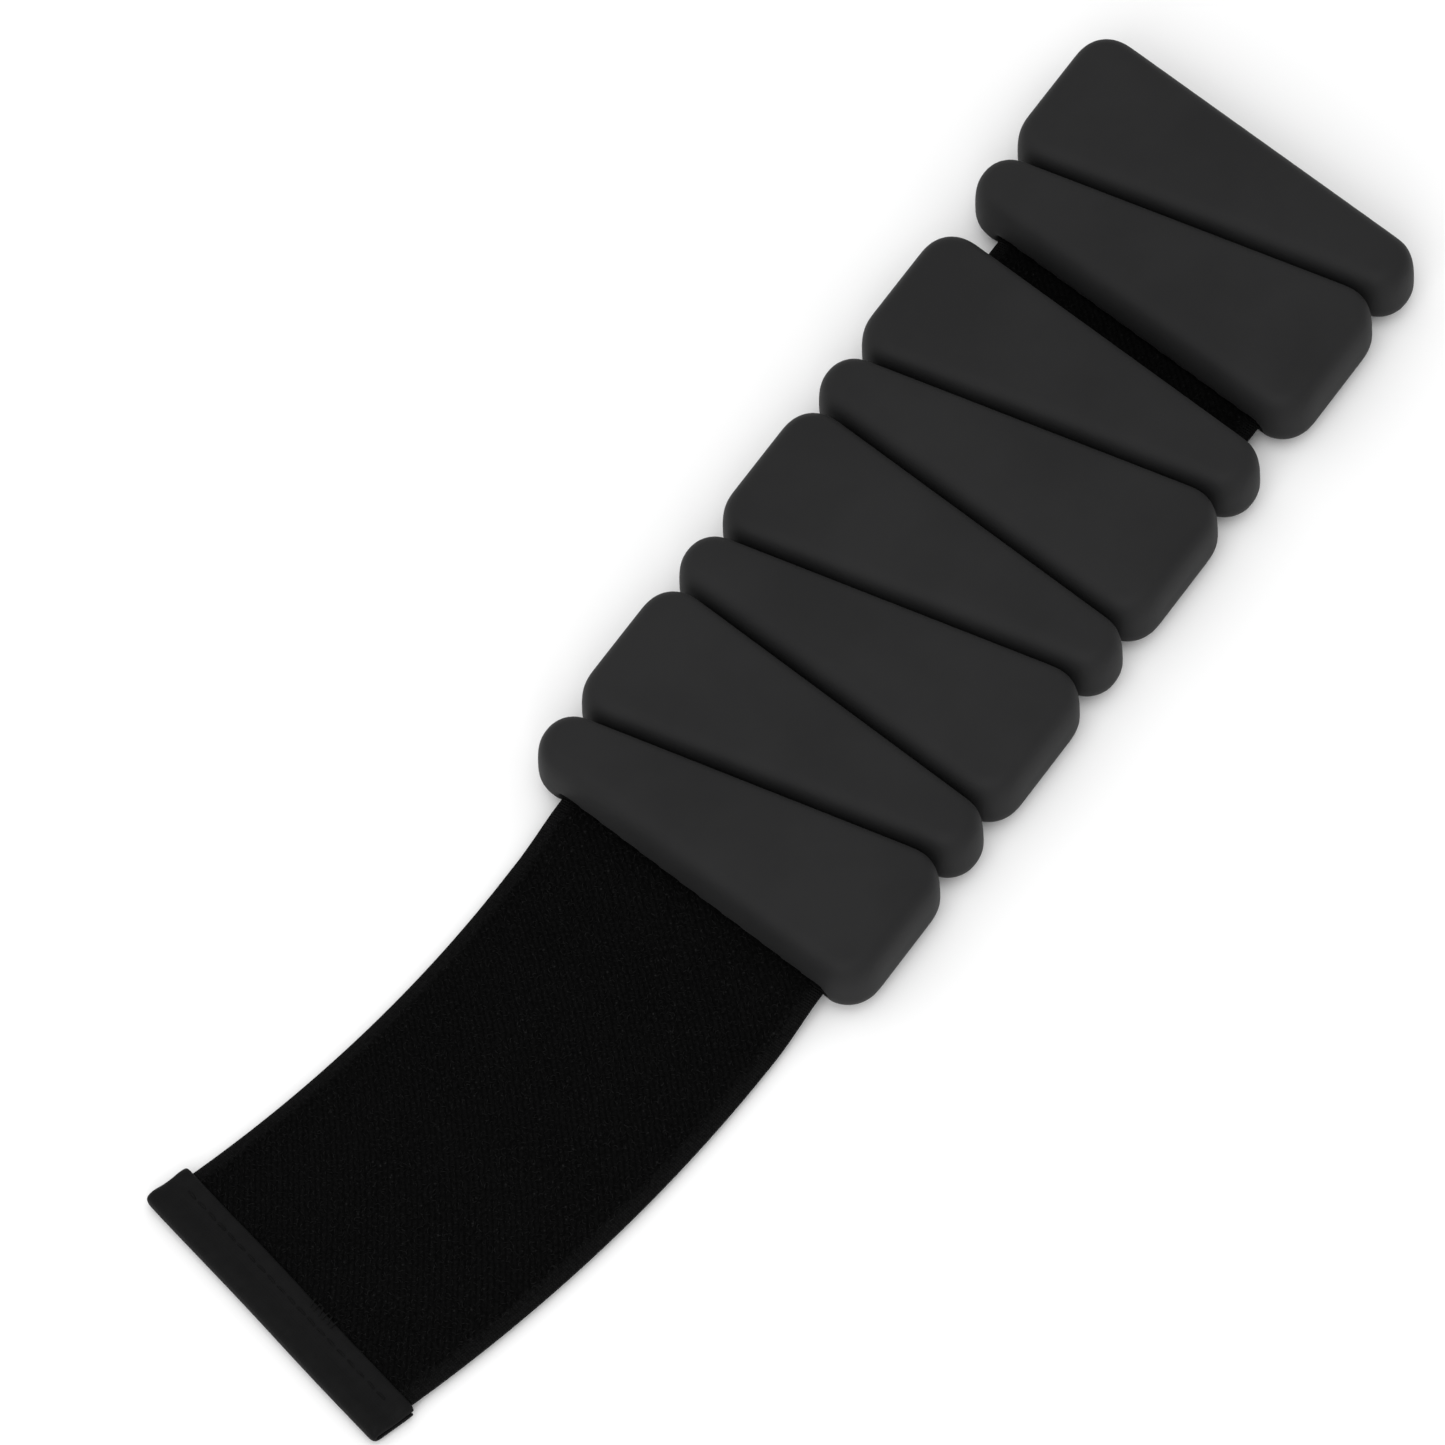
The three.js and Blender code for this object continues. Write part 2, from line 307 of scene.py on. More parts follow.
def joint(name: str) -> dict:
    """The frame's record of one joint."""
    joints = FRAME["record"]["behaviour"]["joints"]
    return next(entry for entry in joints if entry["name"] == name)


# ------------------------------------------------------------------ shader building
class Shader:
    """A small writer of node trees, for materials and groups alike."""

    def __init__(self, tree: bpy.types.NodeTree) -> None:
        """Starts on a node tree."""
        self.tree = tree

    def node(self, kind: str, inputs: dict | None = None, **settings: object) -> bpy.types.Node:
        """Adds a node.

        Args:
            kind: The node's type name without its ShaderNode prefix.
            inputs: Values or sockets by input name or index.
            settings: The node's own settings by name.

        Returns:
            The node.
        """
        made = self.tree.nodes.new(kind if kind.startswith("Node") else f"ShaderNode{kind}")
        for name, value in settings.items():
            setattr(made, name, value)
        self.feed(made, inputs or {})
        return made

    def feed(self, node: bpy.types.Node, inputs: dict) -> None:
        """Sets or links a node's inputs.

        Args:
            node: The node.
            inputs: Values or sockets by input name or index.
        """
        for name, value in inputs.items():
            if isinstance(value, bpy.types.NodeSocket):
                self.tree.links.new(value, node.inputs[name])
            else:
                node.inputs[name].default_value = value

    def math(self, operation: str, first: object, second: object = 0.0) -> bpy.types.NodeSocket:
        """Adds a sum, product or the like of two values.

        Args:
            operation: The operation's name.
            first: A value or socket.
            second: A value or socket.

        Returns:
            The result's socket.
        """
        return self.node("Math", {0: first, 1: second}, operation=operation).outputs[0]

    def ramp(self, value: bpy.types.NodeSocket, stops: list[tuple[float, float]]) -> bpy.types.NodeSocket:
        """Turns a value into another through a grey ramp.

        Args:
            value: The socket read.
            stops: Place and grey level of each stop.

        Returns:
            The ramp's colour socket.
        """
        made = self.node("ValToRGB", {0: value})
        elements = made.color_ramp.elements
        while len(elements) < len(stops):
            elements.new(0.5)
        for element, (place, level) in zip(elements, stops):
            element.position = place
            element.color = (level, level, level, 1)
        return made.outputs[0]

    def mix(self, factor: object, first: object, second: object) -> bpy.types.NodeSocket:
        """Mixes two colours.

        Args:
            factor: A value or socket.
            first: A colour or socket.
            second: A colour or socket.

        Returns:
            The mixed colour's socket.
        """
        return self.node("Mix", {0: factor, 6: first, 7: second}, data_type="RGBA").outputs[2]

    def span(self, value: bpy.types.NodeSocket, low: float, high: float) -> bpy.types.NodeSocket:
        """Turns the usual reach of a noise, 0.3 to 0.7, into another range.

        Args:
            value: The noise.
            low: The result at 0.3.
            high: The result at 0.7.

        Returns:
            The result's socket.
        """
        return self.node("MapRange", {0: value, 1: 0.3, 2: 0.7, 3: low, 4: high}).outputs[0]


def new_group(name: str, inputs: dict[str, tuple[str, object]], outputs: dict[str, str]) -> tuple:
    """Starts a shader node group.

    Args:
        name: The group's name.
        inputs: Socket type and default value of each input.
        outputs: Socket type of each output.

    Returns:
        The group, its writer, its input node and its output node.
    """
    group = bpy.data.node_groups.new(name, "ShaderNodeTree")
    for label, (kind, value) in inputs.items():
        socket = group.interface.new_socket(name=label, in_out="INPUT", socket_type=kind)
        if value is not None:
            socket.default_value = value
    for label, kind in outputs.items():
        group.interface.new_socket(name=label, in_out="OUTPUT", socket_type=kind)
    writer = Shader(group)
    return group, writer, group.nodes.new("NodeGroupInput"), group.nodes.new("NodeGroupOutput")


def grain_group() -> bpy.types.NodeTree:
    """Fine moulded or worn grain: a height and a slow patchiness from two sizes of noise.

    Returns:
        The node group.
    """
    inputs = {
        "Vector": ("NodeSocketVector", None),
        "Grain per metre": ("NodeSocketFloat", 2500.0),
        "Patches per metre": ("NodeSocketFloat", 60.0),
    }
    group, writer, source, target = new_group(
        "surface_grain", inputs, {"Height": "NodeSocketFloat", "Patches": "NodeSocketFloat"}
    )
    fine = writer.node("TexNoise", {"Vector": source.outputs[0], "Scale": source.outputs[1], "Detail": 3.0})
    slow = writer.node("TexNoise", {"Vector": source.outputs[0], "Scale": source.outputs[2], "Detail": 5.0})
    group.links.new(fine.outputs[0], target.inputs[0])
    group.links.new(slow.outputs[0], target.inputs[1])
    return group


def weave_group() -> bpy.types.NodeTree:
    """Woven tape: ribs one way crossed by threads the other, from a cloth map in metres.

    Returns:
        The node group.
    """
    inputs = {
        "Cloth": ("NodeSocketVector", None),
        "Ribs per metre": ("NodeSocketFloat", 1200.0),
        "Threads per metre": ("NodeSocketFloat", 900.0),
    }
    group, writer, source, target = new_group(
        "tape_weave", inputs, {"Height": "NodeSocketFloat", "Gaps": "NodeSocketFloat"}
    )
    split = writer.node("SeparateXYZ", {0: source.outputs[0]})
    waves = []
    for place, rate in ((split.outputs[1], source.outputs[1]), (split.outputs[0], source.outputs[2])):
        turns = writer.math("MULTIPLY", rate, HALF_TURN)
        waves.append(writer.math("SINE", writer.math("MULTIPLY", place, turns)))
    crossed = writer.math("ABSOLUTE", writer.math("MULTIPLY", *waves))
    gap_level = 0.18
    group.links.new(crossed, target.inputs[0])
    group.links.new(writer.math("LESS_THAN", crossed, gap_level), target.inputs[1])
    return group


@dataclass(frozen=True)
class Finish:
    """What every finish shares: a named material with one principled shader."""

    name: str = "finish"

    def start(self) -> tuple[bpy.types.Material, Shader, bpy.types.Node]:
        """Makes the empty material.

        Returns:
            The material, a writer on its nodes, and its shader node.
        """
        material = bpy.data.materials.new(self.name)
        material.use_nodes = True
        return material, Shader(material.node_tree), material.node_tree.nodes["Principled BSDF"]

    @staticmethod
    def roughen(writer: Shader, shader: bpy.types.Node, height: bpy.types.NodeSocket, distance: float,
                strength: float = 1.0) -> None:
        """Bumps a shader by a height.

        Args:
            writer: The material's writer.
            shader: The principled shader.
            height: The height's socket.
            distance: Depth of the bump in metres.
            strength: Share of the bump that shows.
        """
        bump = writer.node("Bump", {"Height": height, "Distance": distance, "Strength": strength})
        writer.feed(shader, {"Normal": bump.outputs[0]})


@dataclass(frozen=True)
class SiliconeFinish(Finish):
    """Soft-touch matte silicone with a fine moulded grain, faint handling marks and a parting line."""

    name: str = "soft_silicone"
    dark: tuple = (0.0125, 0.0125, 0.0128, 1)
    light: tuple = (0.016, 0.016, 0.0163, 1)
    grain_rate: float = 3200.0
    patch_rate: float = 55.0
    parting_height: float = 4.5 * MM
    parting_half: float = 0.09 * MM

    def make(self, grain: bpy.types.NodeTree) -> bpy.types.Material:
        """Builds the material.

        Args:
            grain: The surface grain group.

        Returns:
            The material.
        """
        material, writer, shader = self.start()
        place = writer.node("TexCoord").outputs["Object"]
        skin = writer.node("Group", {0: place, 1: self.grain_rate, 2: self.patch_rate}, node_tree=grain)
        patches = writer.ramp(skin.outputs[1], [(0.35, 0.0), (0.65, 1.0)])
        height = writer.node("SeparateXYZ", {0: place}).outputs[2]
        offset = writer.math("ABSOLUTE", writer.math("SUBTRACT", height, self.parting_height))
        line = writer.math("MULTIPLY", writer.math("LESS_THAN", offset, self.parting_half), 0.6)
        total = writer.math("ADD", writer.math("MULTIPLY", skin.outputs[0], 0.55), line)
        self.roughen(writer, shader, total, 0.05 * MM, 0.7)
        writer.feed(shader, {
            "Base Color": writer.mix(patches, self.dark, self.light),
            "Roughness": writer.span(skin.outputs[1], 0.58, 0.68),
            "Specular IOR Level": 0.12,
            "Sheen Weight": 0.01,
            "Sheen Roughness": 0.5,
        })
        return material


@dataclass(frozen=True)
class PileFinish(Finish):
    """Black brushed loop pile with woven edges, on the strap's own cloth map in metres, with painted
    highlights on the loop tops and painted shade between its rows and threads.
    """

    name: str = "loop_pile"
    # Near-black painted shade for the pile's depths: the fuzz lows, the spaces between loop rows and the
    # spaces between threads of the woven edge.
    painted_shade: tuple = (0.0006, 0.0006, 0.0006, 1)
    mid: tuple = (0.0035, 0.0035, 0.0035, 1)
    # tip: painted highlight colour for the loop tops
    tip: tuple = (0.021, 0.021, 0.021, 1)
    edge: tuple = (0.0085, 0.0085, 0.0085, 1)
    edge_start: float = 25.6 * MM
    edge_fade: float = 1.8 * MM
    row_pitch: float = 1.25 * MM
    row_slant: float = 0.9
    fuzz_rate: float = 1500.0
    curl_rate: float = 1150.0
    grain_rate: float = 700.0
    patch_rate: float = 90.0
    ribs: float = 2600.0
    threads: float = 2100.0

    def make(self, grain: bpy.types.NodeTree, weave: bpy.types.NodeTree) -> bpy.types.Material:
        """Builds the material.

        Args:
            grain: The surface grain group.
            weave: The tape weave group.

        Returns:
            The material.
        """
        material, writer, shader = self.start()
        cloth = writer.node("UVMap", uv_map="cloth").outputs[0]
        fuzz = writer.node(
            "TexNoise", {"Vector": cloth, "Scale": self.fuzz_rate, "Detail": 4.0, "Roughness": 0.7}
        )
        curls = writer.node("TexVoronoi", {"Vector": cloth, "Scale": self.curl_rate, "Randomness": 1.0})
        patches = writer.node("Group", {0: cloth, 1: self.grain_rate, 2: self.patch_rate}, node_tree=grain)
        shade = writer.ramp(fuzz.outputs[0], [(0.34, 0.0), (0.62, 1.0)])
        # Painted shade mixed into the random fuzz tone of the pile.
        body = writer.mix(shade, self.painted_shade, self.mid)
        # Painted highlight: the loop tops, where the bump is highest, are painted lighter in the tip colour.
        curl_tops = writer.math("SUBTRACT", 1.0, curls.outputs[0])
        highlight_specks = writer.ramp(writer.math("MULTIPLY", fuzz.outputs[0], curl_tops), [(0.42, 0.0), (0.6, 1.0)])
        lit = writer.mix(writer.math("MULTIPLY", highlight_specks, 0.8), body, self.tip)
        worn = writer.ramp(patches.outputs[1], [(0.35, 0.0), (0.75, 0.35)])
        split = writer.node("SeparateXYZ", {0: cloth})
        slant = writer.math("MULTIPLY", split.outputs[1], self.row_slant)
        slanted = writer.math("ADD", split.outputs[0], slant)
        drift = writer.math("MULTIPLY", patches.outputs[0], 0.9)
        turns = writer.math("ADD", writer.math("MULTIPLY", slanted, 1 / self.row_pitch), drift)
        rows = writer.math("SINE", writer.math("MULTIPLY", turns, 2 * HALF_TURN))
        # Painted shade: the spaces between the slanted loop rows are painted near black.
        row_gap_shade = writer.node("MapRange", {0: rows, 1: -1.0, 2: 0.2, 3: 0.6, 4: 0.0}).outputs[0]
        pile = writer.mix(row_gap_shade, writer.mix(worn, lit, self.mid), self.painted_shade)
        across = writer.math("ABSOLUTE", split.outputs[1])
        ragged = writer.math("MULTIPLY", writer.math("SUBTRACT", fuzz.outputs[0], 0.5), 2.2 * MM)
        at_edge = writer.node("MapRange", {
            0: writer.math("ADD", across, ragged), 1: self.edge_start, 2: self.edge_start + self.edge_fade,
        }).outputs[0]
        tape = writer.node("Group", {0: cloth, 1: self.ribs, 2: self.threads}, node_tree=weave)
        # Painted shade: the spaces between the threads of the woven edge are darkened towards near black.
        thread_gap_shade = writer.math("MULTIPLY", tape.outputs[1], 0.35)
        selvedge = writer.mix(thread_gap_shade, writer.mix(shade, self.mid, self.edge), self.painted_shade)
        rough = writer.node("MapRange", {0: at_edge, 3: 0.95, 4: 0.72}).outputs[0]
        loops = writer.math("ADD", fuzz.outputs[0], writer.math("MULTIPLY", curls.outputs[0], -0.7))
        height = writer.node("Mix", {0: at_edge, 2: loops, 3: tape.outputs[0]})
        self.roughen(writer, shader, height.outputs[0], 0.3 * MM, 0.9)
        color = writer.mix(at_edge, pile, selvedge)
        writer.feed(shader, {"Base Color": color, "Roughness": rough, "Specular IOR Level": 0.03})
        return material


@dataclass(frozen=True)
class ThreadFinish(Finish):
    """Twisted polyester thread, from the stray pile loops to the sewn stitches."""

    name: str = "thread"
    base: tuple = (0.0012, 0.0012, 0.0012, 1)
    bright: tuple = (0.0085, 0.0085, 0.0085, 1)
    fibre_rate: float = 6000.0
    twist_rate: float = 900.0

    def make(self, grain: bpy.types.NodeTree) -> bpy.types.Material:
        """Builds the material.

        Args:
            grain: The surface grain group.

        Returns:
            The material.
        """
        material, writer, shader = self.start()
        place = writer.node("TexCoord").outputs["Object"]
        twist = writer.node("Group", {0: place, 1: self.fibre_rate, 2: self.twist_rate}, node_tree=grain)
        tone = writer.ramp(twist.outputs[1], [(0.35, 0.0), (0.68, 1.0)])
        self.roughen(writer, shader, twist.outputs[0], 0.05 * MM, 0.8)
        color = writer.mix(tone, self.base, self.bright)
        writer.feed(shader, {"Base Color": color, "Roughness": 0.75, "Specular IOR Level": 0.08})
        return material


@dataclass(frozen=True)
class BindingFinish(Finish):
    """Smooth coated tape with a barely visible fine rib, rubbed lighter in random patches."""

    name: str = "end_binding"
    base: tuple = (0.0044, 0.0044, 0.0045, 1)
    rubbed: tuple = (0.0058, 0.0058, 0.0059, 1)
    grain_rate: float = 1800.0
    patch_rate: float = 420.0
    ribs: float = 2400.0
    threads: float = 1600.0

    def make(self, grain: bpy.types.NodeTree, weave: bpy.types.NodeTree) -> bpy.types.Material:
        """Builds the material.

        Args:
            grain: The surface grain group.
            weave: The tape weave group.

        Returns:
            The material.
        """
        material, writer, shader = self.start()
        cloth = writer.node("UVMap", uv_map="cloth").outputs[0]
        skin = writer.node("Group", {0: cloth, 1: self.grain_rate, 2: self.patch_rate}, node_tree=grain)
        tape = writer.node("Group", {0: cloth, 1: self.ribs, 2: self.threads}, node_tree=weave)
        tone = writer.ramp(skin.outputs[1], [(0.38, 0.0), (0.66, 1.0)])
        height = writer.math("ADD", writer.math("MULTIPLY", tape.outputs[0], 0.5), skin.outputs[0])
        self.roughen(writer, shader, height, 0.08 * MM, 0.6)
        writer.feed(shader, {
            "Base Color": writer.mix(tone, self.base, self.rubbed),
            "Roughness": writer.span(skin.outputs[1], 0.5, 0.66),
            "Specular IOR Level": 0.06,
        })
        return material


@dataclass(frozen=True)
class HookFinish(Finish):
    """Moulded nylon hook tape, slightly glossier than the cloth."""

    name: str = "hook_tape"
    base: tuple = (0.007, 0.007, 0.0075, 1)
    pale: tuple = (0.016, 0.016, 0.017, 1)
    grain_rate: float = 2600.0
    patch_rate: float = 200.0

    def make(self, grain: bpy.types.NodeTree) -> bpy.types.Material:
        """Builds the material.

        Args:
            grain: The surface grain group.

        Returns:
            The material.
        """
        material, writer, shader = self.start()
        place = writer.node("TexCoord").outputs["Object"]
        skin = writer.node("Group", {0: place, 1: self.grain_rate, 2: self.patch_rate}, node_tree=grain)
        tone = writer.ramp(skin.outputs[1], [(0.4, 0.0), (0.65, 1.0)])
        self.roughen(writer, shader, skin.outputs[0], 0.06 * MM, 0.7)
        rough = writer.span(skin.outputs[1], 0.4, 0.55)
        writer.feed(shader, {"Base Color": writer.mix(tone, self.base, self.pale), "Roughness": rough})
        return material


@dataclass(frozen=True)
class SteelFinish(Finish):
    """Sawn and brushed steel bar, with scratches along its length."""

    name: str = "brushed_steel"
    dark: tuple = (0.3, 0.31, 0.32, 1)
    light: tuple = (0.48, 0.49, 0.5, 1)
    stretch: tuple = (1.0, 0.04, 1.0)
    grain_rate: float = 5000.0
    patch_rate: float = 350.0

    def make(self, grain: bpy.types.NodeTree) -> bpy.types.Material:
        """Builds the material.

        Args:
            grain: The surface grain group.

        Returns:
            The material.
        """
        material, writer, shader = self.start()
        place = writer.node("TexCoord").outputs["Object"]
        drawn = writer.node("Mapping", {"Vector": place, "Scale": self.stretch}).outputs[0]
        brushed = writer.node("Group", {0: drawn, 1: self.grain_rate, 2: self.patch_rate}, node_tree=grain)
        self.roughen(writer, shader, brushed.outputs[0], 0.03 * MM, 0.6)
        color = writer.mix(brushed.outputs[1], self.dark, self.light)
        rough = writer.span(brushed.outputs[0], 0.28, 0.5)
        writer.feed(shader, {"Base Color": color, "Roughness": rough, "Metallic": 1.0})
        return material


@dataclass(frozen=True)
class FloorFinish(Finish):
    """Plain pale studio paper."""

    name: str = "studio_paper"
    tone: tuple = (0.93, 0.93, 0.93, 1)

    def make(self) -> bpy.types.Material:
        """Builds the material.

        Returns:
            The material.
        """
        material, writer, shader = self.start()
        writer.feed(shader, {"Base Color": self.tone, "Roughness": 0.95, "Specular IOR Level": 0.1})
        return material


class Wardrobe:
    """Every finish, made once."""

    def __init__(self) -> None:
        """Builds the shared groups and the materials."""
        grain, weave = grain_group(), weave_group()
        self.silicone = SiliconeFinish().make(grain)
        self.pile = PileFinish().make(grain, weave)
        self.loops = ThreadFinish(name="pile_loops").make(grain)
        self.stitch = ThreadFinish(
            name="stitch_thread", base=(0.0026, 0.0026, 0.0026, 1), bright=(0.005, 0.005, 0.005, 1)
        ).make(grain)
        self.binding = BindingFinish().make(grain, weave)
        self.hooks = HookFinish().make(grain)
        self.steel = SteelFinish().make(grain)
        self.floor = FloorFinish().make()

    @staticmethod
    def dress(obj: bpy.types.Object, material: bpy.types.Material) -> None:
        """Gives a piece one material.

        Args:
            obj: The piece.
            material: The material.
        """
        obj.data.materials.clear()
        obj.data.materials.append(material)


# ------------------------------------------------------------------ silicone beads
@dataclass
class BeadMould:
    """The mould of the wedge-shaped bead. The wide end of a fresh casting is at +Y."""

    length: float = 72 * MM
    mid_width: float = 20.6 * MM
    height: float = 14 * MM
    belly: float = 4.5 * MM
    taper: float = math.radians(8)
    wide_corner: float = 6.5 * MM
    narrow_corner: float = 5.6 * MM
    corner_segments: int = 9
    crown: float = 0.8 * MM
    dome_inset: float = 4.4 * MM
    dome_power: float = 3.6
    dome_steps: int = 9
    slot_width: float = 58.6 * MM
    slot_height: float = 3.2 * MM
    blind_wall: float = 4 * MM
    hook_inset: float = 3.7 * MM
    hook_recess: float = 1.2 * MM
    tool_depth: float = 1 * MM
    tool_reach: float = 30 * MM
    round_share: float = 0.49
    skin_voxel: float = 0.62 * MM
    skin_passes: int = 7
    underside: list = field(default_factory=lambda: [
        (1.1, 0.1), (1.1, 0.4), (1.0, 0.65), (0.7, 0.65), (0.6, 0.8),
    ])

    def outline(self, name: str, z: float) -> bpy.types.Object:
        """The bead's plan as one flat face.

        Args:
            name: The object's name.
            z: Height of the face.

        Returns:
            The flat outline.
        """
        deselect_all()
        bpy.ops.mesh.primitive_plane_add(size=1, location=(0, 0, z))
        obj = newest(name)
        focus(obj)
        bpy.ops.object.transform_apply(location=True, rotation=True, scale=True)
        with editing(obj, selected=True):
            bpy.ops.transform.resize(value=(self.mid_width, self.length, 1))
            reach = math.tan(self.taper) * self.length / 2
            half = self.mid_width / 2
            for end in (1, -1):
                pick(obj, Kind.VERTICES, lambda co, _, end=end: co.y * end > 0)
                bpy.ops.transform.resize(value=((half + end * reach) / half, 1, 1))
            corners = ((1, self.wide_corner, -self.taper), (-1, self.narrow_corner, self.taper))
            for end, radius, lean in corners:
                pick(obj, Kind.VERTICES, lambda co, _, end=end: co.y * end > self.length * 0.49)
                tangent = radius / math.tan((math.pi / 2 + lean) / 2)
                bpy.ops.mesh.bevel(
                    offset=tangent, offset_type="OFFSET", segments=self.corner_segments,
                    profile=0.5, affect="VERTICES",
                )
        return obj

    def dome(self) -> list[tuple[float, float]]:
        """Rise and inset of each step of the domed top, in millimetres.

        Returns:
            The steps from the belly up.
        """
        angles = [step / self.dome_steps * math.pi / 2 for step in range(self.dome_steps + 1)]
        power = 2 / self.dome_power
        rises = [(self.height - self.belly - self.crown) * math.sin(angle) ** power for angle in angles]
        insets = [self.dome_inset * (1 - max(0.0, math.cos(angle)) ** power) for angle in angles]
        return [
            ((rises[i + 1] - rises[i]) / MM, (insets[i + 1] - insets[i]) / MM) for i in range(self.dome_steps)
        ]

    def raise_crown(self, obj: bpy.types.Object) -> None:
        """Swells the top gently towards its middle.

        Args:
            obj: The casting.
        """
        points = points_of(obj)
        half = self.mid_width / 2 + math.tan(self.taper) * points[:, 1]
        across = np.clip(np.abs(points[:, 0]) / half, 0, 1)
        along = np.clip(np.abs(points[:, 1]) / (self.length / 2), 0, 1)
        up = np.clip((points[:, 2] - self.belly) / (self.height - self.belly), 0, 1)
        points[:, 2] += self.crown * (1 - across ** 2) * (1 - along ** 4) * up ** 2
        set_points(obj, points)

    def shell(self, name: str, rings: list, way: int) -> bpy.types.Object:
        """Half of the bead, stepped in from the belly outline.

        Args:
            name: The object's name.
            rings: Rise and inset of each step, in millimetres.
            way: 1 for the domed top, -1 for the underside.

        Returns:
            The open half shell.
        """
        obj = self.outline(name, self.belly)
        with editing(obj, selected=True):
            for rise, inset in rings:
                bpy.ops.mesh.inset(
                    thickness=inset * MM, depth=way * rise * MM, use_even_offset=True,
                    use_boundary=True, use_relative_offset=False,
                )
        return obj

    def slot_tool(self, number_type: BeadType) -> bpy.types.Object:
        """The round-ended bar that leaves the strap slot.

        Args:
            number_type: Which moulding the slot is for.

        Returns:
            The closed bar.
        """
        reach = self.tool_reach
        high = self.mid_width / 2 - self.blind_wall if number_type is BeadType.END else reach
        deselect_all()
        bpy.ops.mesh.primitive_cube_add(size=1)
        tool = newest("slot_tool")
        with editing(tool, selected=True):
            bpy.ops.transform.resize(value=(high + reach, self.slot_width, self.slot_height))
            bpy.ops.transform.translate(value=((high - reach) / 2, 0, STRAP_HEIGHT))
            slant = math.tan(self.taper) * self.slot_width / 2
            for side in (1, -1):
                pick(tool, Kind.VERTICES, lambda co, _, side=side: co.x > 0 and co.y * side > 0)
                bpy.ops.transform.translate(value=(side * slant, 0, 0))
            pick(tool, Kind.EDGES, lambda _, way: abs(way.x) > 0.9)
            bpy.ops.mesh.bevel(
                offset=self.slot_height * self.round_share, segments=6, profile=0.5, affect="EDGES"
            )
        return tool

    def plate(self, name: str, inset: float, low: float, high: float) -> bpy.types.Object:
        """A flat plate in the shape of the bead's plan.

        Args:
            name: The object's name.
            inset: Distance of the plate's edge inside the plan.
            low: Height of its underside.
            high: Height of its top.

        Returns:
            The closed plate.
        """
        obj = self.outline(name, low)
        with editing(obj, selected=True):
            bpy.ops.mesh.inset(thickness=inset, depth=0, use_even_offset=True)
            bpy.ops.mesh.select_all(action="INVERT")
            bpy.ops.mesh.delete(type="VERT")
            bpy.ops.mesh.select_all(action="SELECT")
            bpy.ops.mesh.extrude_region_move(TRANSFORM_OT_translate={"value": (0, 0, high - low)})
            face_outward()
        return obj

    def cast(self, kind: BeadType) -> bpy.types.Object:
        """Models one casting.

        Args:
            kind: Which moulding it is.

        Returns:
            The finished casting, centred on the bead's own middle.
        """
        top = self.shell("bead_top", self.dome(), 1)
        under = self.shell("bead_under", self.underside, -1)
        focus(top, under)
        bpy.ops.object.join()
        with editing(top, selected=True):
            bpy.ops.mesh.remove_doubles(threshold=WELD)
            face_outward()
        if kind is not BeadType.PLAIN:
            carve(top, self.plate("hook_tool", self.hook_inset, -self.tool_depth, self.hook_recess))
        carve(top, self.slot_tool(kind))
        apply_modifier(top, "REMESH", mode="VOXEL", voxel_size=self.skin_voxel, use_smooth_shade=True)
        apply_modifier(top, "SMOOTH", factor=0.5, iterations=self.skin_passes)
        self.raise_crown(top)
        smooth(top)
        top.name = f"casting_{kind.value}"
        return top


@dataclass
class BeadRow:
    """The eight beads in their row, every second one turned end for end."""

    mould: BeadMould = field(default_factory=BeadMould)

    @staticmethod
    def kind(number: int) -> BeadType:
        """Which moulding a bead is made in."""
        return {1: BeadType.END, 2: BeadType.HOOKED}.get(number, BeadType.PLAIN)

    @staticmethod
    def place(number: int) -> Matrix:
        """The place of a bead, from the frame.

        Args:
            number: The bead's number from the closed end.

        Returns:
            Its place and turn.
        """
        low, high = frame_box(f"bead_{number}_jacket")
        turn = Matrix.Rotation(0 if number % 2 else HALF_TURN, 4, "Z")
        return Matrix.Translation(((low.x + high.x) / 2, (low.y + high.y) / 2, 0)) @ turn

    def build(self, wardrobe: Wardrobe) -> list[bpy.types.Object]:
        """Makes and rides every bead.

        Args:
            wardrobe: The finishes.

        Returns:
            The bead skins.
        """
        castings = {kind: self.mould.cast(kind) for kind in BeadType}
        made = []
        for number in range(1, BEAD_TOTAL + 1):
            skin = duplicate(castings[self.kind(number)], f"bead_{number}_skin", self.place(number))
            wardrobe.dress(skin, wardrobe.silicone)
            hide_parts(f"bead_{number}_jacket")
            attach(skin, f"bead_{number}")
            made.append(skin)
        for casting in castings.values():
            discard(casting)
        return made


